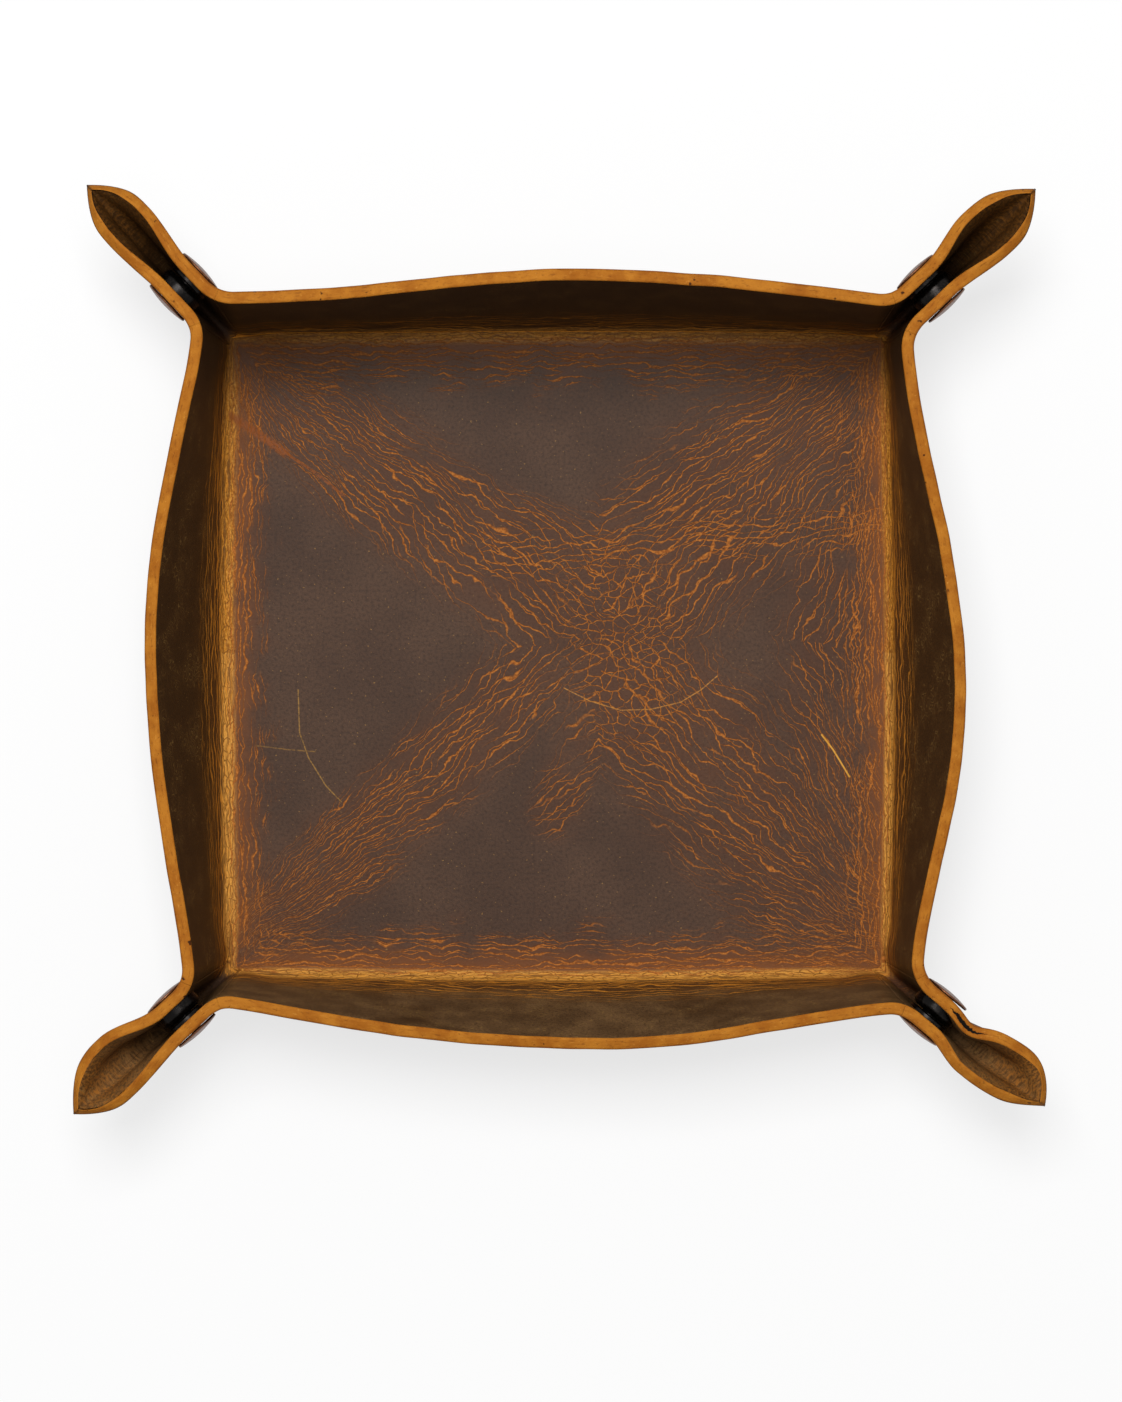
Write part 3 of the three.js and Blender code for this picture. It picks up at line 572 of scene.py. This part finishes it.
def hide_piece(name, columns, rows, surface, inward, across=None, split=no_split):
    """A piece of the hide. surface(a, b) gives the middle of its thickness and its place on the flat blank,
    for a and b from 0 to 1, and inward is 1 or -1, the side of that surface where the grain lies. The rim
    is at b = 1. across(a, b, normal) may turn the thickness, and split(a) opens the cut rim, from 0 to 1."""
    shape = bmesh.new()
    bmesh.ops.create_grid(shape, x_segments=columns, y_segments=rows, size=0.5)
    top = bmesh.ops.extrude_face_region(shape, geom=shape.faces[:], use_keep_orig=True)
    raised = [v for v in top["geom"] if isinstance(v, bmesh.types.BMVert)]
    bmesh.ops.translate(shape, verts=raised, vec=(0, 0, 1))
    uprights = [e for e in shape.edges if all(v.co.y > RIM_LINE for v in e.verts)
                and abs(e.verts[0].co.z - e.verts[1].co.z) > 0.5]
    bmesh.ops.subdivide_edges(shape, edges=uprights, cuts=RIM_CUTS)
    bmesh.ops.recalc_face_normals(shape, faces=shape.faces[:])
    finish = {1: GRAIN, -1: FLESH}
    for face in shape.faces:
        face.smooth = True
        at_rim = all(v.co.y > RIM_LINE for v in face.verts)
        face.material_index = CUT if at_rim else finish.get(round(face.normal.z), GRAIN)
    step = 1e-3
    known = {}
    placed = {}
    for vert in shape.verts:
        a, b = vert.co.x + 0.5, vert.co.y + 0.5
        side = math.sin((2 * vert.co.z - 1) * math.pi / 2)
        key = (round(a, 5), round(b, 5))
        if key not in known:
            middle, flat = surface(a, b)
            along = surface(a + step, b)[0] - surface(a - step, b)[0]
            up = surface(a, b + step)[0] - surface(a, b - step)[0]
            normal = along.cross(up).normalized() * inward
            if across:
                normal = across(a, b, normal)
            known[key] = (middle, normal, up.normalized(), flat, old_fold_wear(*flat))
        middle, normal, up, flat, (fan, web, level) = known[key]
        place = middle + normal * side * HIDE / 2
        opened = 0.0
        if vert.co.y > RIM_LINE:
            into = max(0.0, (abs(side) - 1 + RIM_ROUND) / RIM_ROUND)
            opened = split(a)
            notch = SPLIT_DEPTH * opened * (1 - smooth(abs(side), 0.1, 0.5))
            place -= up * (HIDE / 2 * RIM_ROUND * (1 - math.sqrt(max(0.0, 1 - into * into))) + notch)
        placed[vert] = (place, flat, side, (fan, web, opened, level))
    blank = shape.loops.layers.uv.new("hide")
    worn = shape.loops.layers.float_color.new("old_folds")
    for face in shape.faces:
        for loop in face.loops:
            _, flat, side, wear = placed[loop.vert]
            loop[blank].uv = (flat[0] + flat[1], (side + 1) / 2) if face.material_index == CUT else flat
            loop[worn] = wear
    for vert, (place, _, _, _) in placed.items():
        vert.co = place * MM
    bmesh.ops.recalc_face_normals(shape, faces=shape.faces[:])
    piece = new_object(name, shape)
    for material in hide_finishes:
        piece.data.materials.append(material)
    return piece


# The floor of the tray: the flat middle of the blank, turned up all round through the first half of
# each crease. The creases are tight at the corners, where the ears pull them in.
CREASE_RADIUS, TIGHT_RADIUS = 5.0, 2.2  # of the middle of the hide
CREASE_TAPER = 14.0
CREASE_BOW = 0.72  # a wider bend stands further out, by this share of the radius it gains
FLOOR_CROWDING = 0.7
WALLS = {
    "back_wall": {"across": True, "side": 1, "ends": ("back_left", "back_right"),
                  "splay": (4.3, 3.5), "bow": 6.2, "peak": 7.0, "fullness": (2.5, 1.3)},
    "front_wall": {"across": True, "side": -1, "ends": ("front_left", "front_right"),
                   "splay": (3.6, 5.4), "bow": 9.8, "peak": 7.0, "fullness": (1.2, 1.7)},
    "left_wall": {"across": False, "side": -1, "ends": ("front_left", "back_left"),
                  "splay": (5.3, 3.2), "bow": 10.8, "peak": 4.0, "fullness": (1.5, 1.65)},
    "right_wall": {"across": False, "side": 1, "ends": ("front_right", "back_right"),
                   "splay": (3.8, 1.3), "bow": 11.9, "peak": -8.0, "fullness": (1.85, 2.05)},
}
for wall in WALLS.values():
    wall["half"], wall["edge"] = (HALF_LENGTH, HALF_WIDTH) if wall["across"] else (HALF_WIDTH, HALF_LENGTH)


def rim_offset(wall, along):
    """How far the rim stands outside the crease, at a place along the wall."""
    end = 0 if along < wall["peak"] else 1
    reach = wall["half"] + wall["peak"] * (1, -1)[end]
    x = min(max((along - wall["peak"]) / reach, -1.0), 1.0)
    splay = mix(*wall["splay"], (along / wall["half"] + 1) / 2)
    return splay + wall["bow"] * (1 - x * x) ** wall["fullness"][end]


def crease(wall, along, from_corner):
    """The bend from floor to wall: the wall's lean, the bend's angle and radius, the length of its tangents,
    and where it starts, measured out from the crease line."""
    radius = mix(TIGHT_RADIUS, CREASE_RADIUS, smooth(from_corner, 0, CREASE_TAPER))
    bow = CREASE_BOW * (radius - TIGHT_RADIUS)
    lean = math.asin((rim_offset(wall, along) - bow) / WALL_HEIGHT)
    angle = math.pi / 2 - lean
    tangent = radius * math.tan(angle / 2)
    return lean, angle, radius, tangent, bow - tangent


def up_the_blank(wall, travelled, bend, tangent):
    """Place on the blank, out from its middle, at a distance past the start of a crease."""
    whole = WALL_HEIGHT + FLOOR_EDGE
    return wall["edge"] - FLOOR_EDGE + whole * travelled / (bend + WALL_HEIGHT - tangent)


def turned_up(share, wall, along):
    """From 0 at the middle to 1 at the seam in the crease: how far out, how high, and the blank's place."""
    _, angle, radius, tangent, start = crease(wall, along, wall["half"] - abs(along))
    side = math.copysign(1, share)
    flat_end = wall["edge"] + start
    travelled = abs(share) * (flat_end + radius * angle / 2) - flat_end
    if travelled < 0:
        out = flat_end + travelled
        blank = out / flat_end * (wall["edge"] - FLOOR_EDGE)
        return side * out, 0.0, side * blank
    swing = travelled / radius
    blank = up_the_blank(wall, travelled, radius * angle, tangent)
    return side * (flat_end + radius * math.sin(swing)), radius * (1 - math.cos(swing)), side * blank


def crowded(share, crowding):
    """Steps from -1 to 1 for a share from 0 to 1, closer towards both ends."""
    t = 2 * share - 1
    return t * (1 + crowding * (1 - abs(t)))


def floor_surface(a, b):
    s, t = crowded(a, FLOOR_CROWDING), crowded(b, FLOOR_CROWDING)
    x, rise_x, flat_x = turned_up(s, WALLS["left_wall" if s < 0 else "right_wall"], t * HALF_WIDTH)
    y, rise_y, flat_y = turned_up(t, WALLS["front_wall" if t < 0 else "back_wall"], s * HALF_LENGTH)
    return Vector((x, y, HIDE / 2 + rise_x + rise_y)), (flat_x, flat_y)


hide_floor = hide_piece("hide_floor", columns=150, rows=150, surface=floor_surface, inward=1)
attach(hide_floor, "base")
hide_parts("leather_base")

# The four walls: the second half of each crease, then the hide runs straight up to the cut rim, which bows
# outwards between the corners. Each end turns out through half of the bend into an ear.
CORNER_RADIUS = 10.5  # wall to ear, seen from above
PINCH_GAP = 4.5  # between the faces of an ear's layers, at the snap
PINCH = (PINCH_GAP + HIDE) / 2
CORNERS = {"back_left": (-1, 1), "back_right": (1, 1), "front_left": (-1, -1), "front_right": (1, -1)}
EAR_TURN = {"back_left": 1.5, "back_right": -1.5, "front_left": -2.0, "front_right": -5.0}  # degrees
BEND_SHARE = 0.3  # of a wall's rows
RIM_WAVE = 0.3  # how unevenly the rims were cut
LONG_WAVE, SHORT_WAVE, SHORT_SHARE = 24, 8, 0.4  # in waves of these lengths
WALL_CROWDING = 0.8


def corner_bend(corner, across):
    """The bend from a wall into its layer of an ear: its angle, and the wall's splay there."""
    wall = next(w for w in WALLS.values() if w["across"] == across and corner in w["ends"])
    turn = math.pi / 4 + math.radians(EAR_TURN[corner]) * (1 if across else -1)
    return turn, wall["splay"][wall["ends"].index(corner)]


def ear_fold(bend, rise):
    """Where a wall turns into an ear, from 0 at the crease to 1 at the rim: e along the ear, u along the
    wall, both from the floor's corner, and the end of the bend, along the ear."""
    turn, splay = bend
    layer = mix(TIGHT_RADIUS, PINCH, rise)
    sharp = (splay * rise - layer * math.cos(turn)) / math.sin(turn)
    bend_end = sharp + CORNER_RADIUS * math.tan(turn / 2)
    e = bend_end - CORNER_RADIUS * math.sin(turn / 2)
    w = layer + CORNER_RADIUS * (1 - math.cos(turn / 2))
    return e, e * math.cos(turn) - w * math.sin(turn), bend_end


def bend_rise(into):
    """How far a wall's end bend has carried the hide sideways, at a distance into it."""
    inside = min(max(into, 0.0), CORNER_RADIUS)
    return CORNER_RADIUS - math.sqrt(CORNER_RADIUS ** 2 - inside ** 2)


def wall_surface(wall):
    bends = [corner_bend(corner, wall["across"]) for corner in wall["ends"]]

    def surface(a, b):
        s = crowded(a, WALL_CROWDING)
        bend = bends[0 if s < 0 else 1]
        foot = wall["half"] + ear_fold(bend, 0)[1]
        lean, angle, radius, tangent, start = crease(wall, s * wall["half"], wall["half"] - abs(s) * foot)
        swing = mix(angle / 2, angle, min(b / BEND_SHARE, 1.0))
        straight = max(0.0, (b - BEND_SHARE) / (1 - BEND_SHARE))
        ruled = (WALL_HEIGHT - tangent) * straight
        out = start + radius * math.sin(swing) + ruled * math.sin(lean)
        up = radius * (1 - math.cos(swing)) + ruled * math.cos(lean)
        end_u = ear_fold(bend, up / (WALL_HEIGHT * math.cos(lean)))[1]
        u = s * (wall["half"] + end_u)
        bend_start = wall["half"] + end_u - CORNER_RADIUS * math.sin(bend[0] / 2)
        waves = noise.noise(Vector((u / LONG_WAVE, wall["edge"] * wall["side"], 0)))
        waves += SHORT_SHARE * noise.noise(Vector((u / SHORT_WAVE, wall["edge"] * wall["side"], 7)))
        waves *= RIM_WAVE * straight ** 3 * (1 - s ** 6)
        place = wall["side"] * (wall["edge"] + out + bend_rise(abs(u) - bend_start) + waves)
        blank = up_the_blank(wall, radius * swing + ruled, radius * angle, tangent)
        flat = (s * wall["half"], wall["side"] * blank)
        z = HIDE / 2 + up + waves
        return (Vector((u, place, z)), flat) if wall["across"] else (Vector((place, u, z)), flat[::-1])
    return surface


BLEND_LOW, BLEND_HIGH = 2.1, 7.5  # heights of two points worked out on each wall's crease line
for name, wall in WALLS.items():
    inward = wall["side"] * (1 if wall["across"] else -1)
    piece = hide_piece(f"hide_{name}", columns=160, rows=44, surface=wall_surface(wall), inward=inward)
    start = Vector((0, wall["side"] * wall["edge"], BLEND_LOW)) * MM
    end = Vector((0, wall["side"] * wall["edge"], BLEND_HIGH)) * MM
    if not wall["across"]:
        start.xy = start.yx
        end.xy = end.yx
    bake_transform(piece)
    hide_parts(name)

# The ears: each corner of the blank pinched along its diagonal. The layer of each wall runs flat past the
# snap, then its lip flares into a spoon that closes again at the blank's own corner, where both rims meet.
EAR_REACH = {"back_left": 43.6, "back_right": 44.6, "front_left": 45.4, "front_right": 45.2}
EAR_DROOP = 4.0
SNAP_REACH = 11.2
CAP_RADIUS = 6.0
SPOON_START = SNAP_REACH + CAP_RADIUS
SPOONS = {  # each layer's widest place: from the ear's mirror plane to the rim, and how far along the ear
    "back_left": {"cap": (5.2, 29.0), "post": (6.2, 30.0)},
    "back_right": {"cap": (6.1, 30.0), "post": (6.8, 28.0)},
    "front_left": {"cap": (8.3, 29.0), "post": (5.7, 32.0)},
    "front_right": {"cap": (7.2, 35.0), "post": (6.4, 24.0)},
}
LIP_START = 13.0  # along the ear, where the rims start to flare
LIP_HEIGHT = 6.0
LIP_FLARE = 2.2  # how much wider the rim is than the spoon below the lip
SPOON_ROUNDING = 3.0
BOWL_SHARE = 0.6  # of the depth of a spoon, at most, that its round bottom takes
TIP_FULLNESS = 2.5  # how bluntly the rims close
MITRE_START = 9.0  # before the tip, where the two layers start to meet on the mirror plane
MITRE = (0.66, 0.75)  # the thickness there: back along the ear, and up
TIP_FLAT = 0.04
TIP_CROWDING = 1.1
LIP_SHARE = 0.6  # of the height of a layer, at most, that its lip takes
EVEN_FOOT = 8.0  # along the ear, where the feet of its two layers have come together
MEAN_SPLAY = sum(sum(wall["splay"]) for wall in WALLS.values()) / 8
RIM_RISE = math.sqrt(WALL_HEIGHT ** 2 - MEAN_SPLAY ** 2)
ROUND_SHARE = 0.4  # of an ear's rows, round the fold under it
SPLIT_EAR = "front_right"  # its side layer has come apart in the cut edge, just past the snap
SPLIT_START, SPLIT_END = 9.6, 23.0
SPLIT_OPENS, SPLIT_CLOSES = 5, 6  # the lengths over which it does
SPLIT_DIP = {"depth": 1.9, "middle": 20.0, "half_length": 4.5}  # and it is pressed in there


def spoon_width(narrow, widest, start, peak, reach, e):
    """Half the width of an ear, to the middle of the hide, on the side of one layer."""
    if e < peak:
        return mix(narrow, widest, smooth(e, start, peak))
    return widest * (1 - ((e - peak) / (reach - peak)) ** TIP_FULLNESS)


def ear_point(bend, spoon, reach, dip, p, v):
    """A point of one layer: e along the ear, w out from its mirror plane, z, and how far up the layer.
    p is the distance of its ruling from the wall, and v goes from 0 at the fold to 1 at the rim."""
    widest, peak = spoon
    even_foot = ear_fold((math.pi / 4, 0.0), 0)[0]
    foot = mix(ear_fold(bend, 0)[0], even_foot, smooth(p, 0, EVEN_FOOT))
    out = p / WALL_HEIGHT
    rim_e = mix(ear_fold(bend, 1)[0], reach, out)
    foot_e = mix(foot, reach, out)
    rim_w = spoon_width(PINCH, widest, LIP_START, peak, reach, rim_e)
    body_w = spoon_width(PINCH, widest - LIP_FLARE, SPOON_START, peak, reach, rim_e)
    pressed = dip * math.exp(-((rim_e - SPLIT_DIP["middle"]) / SPLIT_DIP["half_length"]) ** 2)
    rim_w -= pressed
    body_w -= pressed
    depth = (WALL_HEIGHT - p) * math.sqrt(0.5)
    height = RIM_RISE * (1 - out)
    opened = smooth(rim_e, SPOON_START, peak)
    radius = mix(TIGHT_RADIUS, min(body_w, BOWL_SHARE * depth), opened)
    swing = min(v / ROUND_SHARE, 1.0) * math.pi / 2
    rise = mix(radius / depth * (1 - math.cos(swing)), 1.0, max(0.0, (v - ROUND_SHARE) / (1 - ROUND_SHARE)))
    spread = 1 + SPOON_ROUNDING * smooth(p, 0, SNAP_REACH) * (1 - opened)
    straight = mix(min(radius, body_w), body_w, 1 - max(0.0, 1 - rise) ** spread)
    lip = min(LIP_HEIGHT, LIP_SHARE * height)
    below = min((1 - rise) * height, lip)
    straight += (rim_w - body_w) * (1 - below / lip) ** 2
    e = mix(foot_e, rim_e, rise)
    bend_end = ear_fold(bend, rise)[2]
    w = (straight + bend_rise(bend_end - e)) * math.sin(swing)
    z = HIDE / 2 + mix((RIM_RISE - EAR_DROOP) * out, RIM_RISE - EAR_DROOP * out, rise)
    return e, w, z, rise


def from_ear(corner, turn, across, e, w, z):
    """A place in an ear's own directions, as a place in the tray."""
    u = e * math.cos(turn) - w * math.sin(turn)
    v = e * math.sin(turn) + w * math.cos(turn)
    x, y = (u, v) if across else (v, u)
    return Vector((corner[0] * (HALF_LENGTH + x), corner[1] * (HALF_WIDTH + y), z))


def ear_layer(corner_name, across):
    corner = CORNERS[corner_name]
    bend = corner_bend(corner_name, across)
    turn = bend[0]
    layer = "post" if across else "cap"
    spoon = SPOONS[corner_name][layer]
    reach = EAR_REACH[corner_name]
    torn = corner_name == SPLIT_EAR and not across
    dip = SPLIT_DIP["depth"] if torn else 0.0
    inward = corner[0] * corner[1] * (1 if across else -1)
    tip = WALL_HEIGHT - TIP_FLAT
    origin = from_ear(corner, turn, across, 0, 0, 0)
    mitre = from_ear(corner, turn, across, -MITRE[0], 0, MITRE[1]) - origin
    under = (from_ear(corner, turn, across, -1, 0, 1) - origin).normalized()

    def distance(a):
        return tip * math.copysign(abs(a) ** TIP_CROWDING, a)

    def surface(a, b):
        p = min(distance(a), WALL_HEIGHT - TIP_FLAT / 2)
        e, w, z, rise = ear_point(bend, spoon, reach, dip, p, b)
        past = (p, mix(p, WALL_HEIGHT, rise))
        x, y = past if across else past[::-1]
        flat = (corner[0] * (HALF_LENGTH + x), corner[1] * (HALF_WIDTH + y))
        return from_ear(corner, turn, across, e, w, z), flat

    def thickness(a, b, normal):
        p = distance(a)
        rise = ear_point(bend, spoon, reach, dip, p, b)[3]
        return normal.lerp(under.lerp(mitre, rise), smooth(p, tip - MITRE_START, tip))

    def split(a):
        p = distance(a)
        opened = smooth(p, SPLIT_START, SPLIT_START + SPLIT_OPENS)
        return opened * (1 - smooth(p, SPLIT_END - SPLIT_CLOSES, SPLIT_END))

    body = f"{corner_name}_ear_{layer}"
    piece = hide_piece(f"hide_{body}", columns=80, rows=44, surface=surface, inward=inward,
                       across=thickness, split=split if torn else no_split)
    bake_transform(piece)
    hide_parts(f"{body}_layer")


for corner_name in CORNERS:
    ear_layer(corner_name, True)
    ear_layer(corner_name, False)

# The press snaps, one through each ear: a cap riveted to a socket with a spring ring on the side layer, and
# a post riveted to a stud on the other. All are pressed brass, plated dark; the caps are rubbed to bronze.
SNAP_DROP = 12.0
SNAP_FIT = 0.05  # between faces that touch
CAP_DOME, CAP_EDGE = 1.3, 0.7
CAP_SEAT = PINCH + HIDE / 2 + SNAP_FIT
FACE = PINCH - HIDE / 2
SNAP_GAP = 0.25
BARREL_RADIUS, BARREL_BORE, BARREL_LIP = 2.1, 1.4, 0.5
POST_RADIUS, POST_BORE = 1.5, 0.75
SOCKET_RADIUS, SOCKET_CEILING, SOCKET_LIP = 5.9, 0.7, 0.4
SPRING_RADIUS, SPRING_WIRE, SPRING_OPENING = 3.5, 0.6, 50.0
STUD_RADIUS, STUD_FLANGE, STUD_HEAD, STUD_NECK = 5.4, 0.9, 2.9, 2.5
SOCKET_TOP = FACE - SNAP_FIT
CEILING = FACE - SNAP_GAP - SOCKET_CEILING
STUD_FOOT = SNAP_FIT - FACE
STUD_SHOULDER = SNAP_GAP + STUD_FLANGE - FACE
SOCKET_MOUTH = STUD_SHOULDER + SNAP_GAP
LIP_END = CEILING - SNAP_GAP - BARREL_LIP
HEAD_TOP = LIP_END - SNAP_GAP
STUD_PLAY = 0.4  # round the stud's head, in the mouth of the socket
FLANGE_ROUND = 0.45
TURNED_STEPS, DOME_STEPS, ROUND_STEPS, WIRE_SIDES = 64, 14, 8, 16
SHARP_ANGLE = 40.0


def plated(name, dark, worn, shine):
    """Dark plating over pressed metal, clouded, and rubbed paler in small marks."""
    material, tree, shader = new_material(name, {"Metallic": 0.9})
    place = add_node(tree, "TexCoord").outputs["Object"]
    clouds = speckle(tree, place, scale=260.0, detail=3.0, roughness=0.6)
    marks = speckle(tree, place, scale=1500.0, detail=3.0, roughness=0.7)
    rubbed = times(tree, ramp(tree, clouds, 0.35, 0.7), ramp(tree, marks, 0.4, 0.7))
    tree.links.new(mixed(tree, rubbed, dark, worn), shader.inputs["Base Color"])
    tree.links.new(ramp(tree, marks, 0.25, 0.75, shine, shine + 0.15), shader.inputs["Roughness"])
    add_bump(tree, shader, strength=0.15, depth=0.05, height=marks)
    return material


gunmetal = plated("gunmetal", rgb(18, 16, 15), rgb(44, 39, 36), 0.2)
bronze = plated("rubbed_bronze", rgb(96, 60, 40), rgb(150, 104, 74), 0.32)
spring_steel = plated("spring_steel", rgb(132, 128, 122), rgb(176, 172, 166), 0.25)


def arc(centre, radii, first, last, steps=6):
    """Points of a quarter or half round in a profile, from one angle in degrees to another."""
    angles = [math.radians(mix(first, last, i / steps)) for i in range(steps + 1)]
    return [(centre[0] + radii[0] * math.cos(t), centre[1] + radii[1] * math.sin(t)) for t in angles]


def snap_piece(name, shape, material, place, body, node):
    """A finished mesh on the snap's axis, set in its ear."""
    bmesh.ops.remove_doubles(shape, verts=shape.verts[:], dist=1e-7)
    bmesh.ops.transform(shape, matrix=place, verts=shape.verts[:])
    bmesh.ops.recalc_face_normals(shape, faces=shape.faces[:])
    for face in shape.faces:
        face.smooth = True
    piece = new_object(name, shape)
    piece.data.set_sharp_from_angle(angle=math.radians(SHARP_ANGLE))
    piece.data.materials.append(material)
    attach(piece, body)
    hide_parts(node)


def turned(profile):
    """A closed profile of radii and heights, turned round the axis."""
    shape = bmesh.new()
    points = [shape.verts.new((radius * MM, 0, height * MM)) for radius, height in profile]
    edges = [shape.edges.new((points[i], points[i - 1])) for i in range(len(points))]
    bmesh.ops.spin(shape, geom=points + edges, axis=(0, 0, 1), angle=2 * math.pi, steps=TURNED_STEPS,
                   use_merge=True)
    return shape


def domed_head(barrel, bore, end, lip):
    """A shallow dome with a rolled edge, on a hollow barrel through the hide, rolled over at its end."""
    rim = CAP_RADIUS - CAP_EDGE / 2
    shares = [i / DOME_STEPS for i in range(DOME_STEPS)]
    dome = [(rim * s, CAP_SEAT + CAP_EDGE + (CAP_DOME - CAP_EDGE) * (1 - s ** 2)) for s in shares]
    edge = arc((rim, CAP_SEAT + CAP_EDGE / 2), (CAP_EDGE / 2, CAP_EDGE / 2), 90, -90, ROUND_STEPS)
    rolled = arc((barrel, end + lip / 2), (lip, lip / 2), 90, -90, ROUND_STEPS) if lip else [(barrel, end)]
    return turned([*dome, *edge, (barrel, CAP_SEAT), *rolled, (bore, end), (bore, CAP_SEAT), (0, CAP_SEAT)])


def socket_ring():
    hole = BARREL_RADIUS + SNAP_FIT
    cavity = SPRING_RADIUS + SPRING_WIRE / 2 + SNAP_GAP
    mouth = STUD_HEAD + STUD_PLAY
    shoulder = mix(SOCKET_MOUTH, SOCKET_TOP, 0.55)
    inner = cavity + SOCKET_LIP
    rounded = arc((inner, shoulder), (SOCKET_RADIUS - inner, SOCKET_MOUTH - shoulder), 0, 90, ROUND_STEPS)
    return turned([(hole, SOCKET_TOP), (SOCKET_RADIUS, SOCKET_TOP), *rounded, (mouth, SOCKET_MOUTH),
                   (mouth, SOCKET_MOUTH + SOCKET_LIP), (cavity, SOCKET_MOUTH + SOCKET_LIP), (cavity, CEILING),
                   (hole, CEILING)])


def stud():
    hole = POST_RADIUS + SNAP_FIT
    waist = mix(STUD_SHOULDER, HEAD_TOP, 0.35)
    crown = mix(STUD_SHOULDER, HEAD_TOP, 0.7)
    flange_middle = (STUD_RADIUS - FLANGE_ROUND, STUD_SHOULDER - FLANGE_ROUND)
    flange = arc(flange_middle, (FLANGE_ROUND, FLANGE_ROUND), 0, 90)
    head = arc((STUD_NECK, crown), (STUD_HEAD - STUD_NECK, HEAD_TOP - crown), 0, 90)
    return turned([(hole, STUD_FOOT), (STUD_RADIUS, STUD_FOOT), *flange, (STUD_NECK, STUD_SHOULDER),
                   (STUD_NECK, waist), *head, (hole, HEAD_TOP)])


def spring_ring():
    """An open ring of round wire, its two ends cut square."""
    shape = bmesh.new()
    middle = SOCKET_MOUTH + SOCKET_LIP + SNAP_GAP / 2 + SPRING_WIRE / 2
    upright = Matrix.Translation((SPRING_RADIUS * MM, 0, middle * MM)) @ Matrix.Rotation(math.pi / 2, 4, "X")
    first = Matrix.Rotation(math.radians(SPRING_OPENING / 2), 4, "Z") @ upright
    bmesh.ops.create_circle(shape, cap_ends=True, segments=WIRE_SIDES, radius=SPRING_WIRE / 2 * MM,
                            matrix=first)
    section = shape.verts[:] + shape.edges[:] + shape.faces[:]
    turn = math.radians(360 - SPRING_OPENING)
    bmesh.ops.spin(shape, geom=section, axis=(0, 0, 1), angle=turn, steps=TURNED_STEPS)
    return shape


for corner_name, corner in CORNERS.items():
    turn = corner_bend(corner_name, False)[0]
    height = HIDE / 2 + RIM_RISE * (1 - SNAP_DROP / WALL_HEIGHT)
    centre = from_ear(corner, turn, False, SNAP_REACH, 0, height)
    axis = from_ear(corner, turn, False, SNAP_REACH, 1, height) - centre
    along = axis.cross(Vector((0, 0, 1)))
    facing = Matrix((along, axis.cross(along), axis)).transposed().to_4x4()
    place = Matrix.Translation(centre * MM) @ facing
    flipped = place @ Matrix.Rotation(math.pi, 4, "X")
    cap_body, post_body = f"{corner_name}_ear_cap", f"{corner_name}_ear_post"
    cap = domed_head(BARREL_RADIUS, BARREL_BORE, LIP_END, BARREL_LIP)
    post = domed_head(POST_RADIUS, POST_BORE, -HEAD_TOP, 0.0)
    pieces = [
        ("cap", cap, bronze, "gunmetal", place, cap_body),
        ("socket", socket_ring(), gunmetal, "gunmetal", place, cap_body),
        ("spring", spring_ring(), spring_steel, "spring_steel", place, cap_body),
        ("stud", stud(), gunmetal, "gunmetal", place, post_body),
        ("post", post, bronze, "gunmetal", flipped, post_body),
    ]
    for kind, shape, material, slot, seat, body in pieces:
        node = f"{corner_name}_snap_{kind}"
        snap_piece(f"{node}_metal", shape, material, seat, body, node)
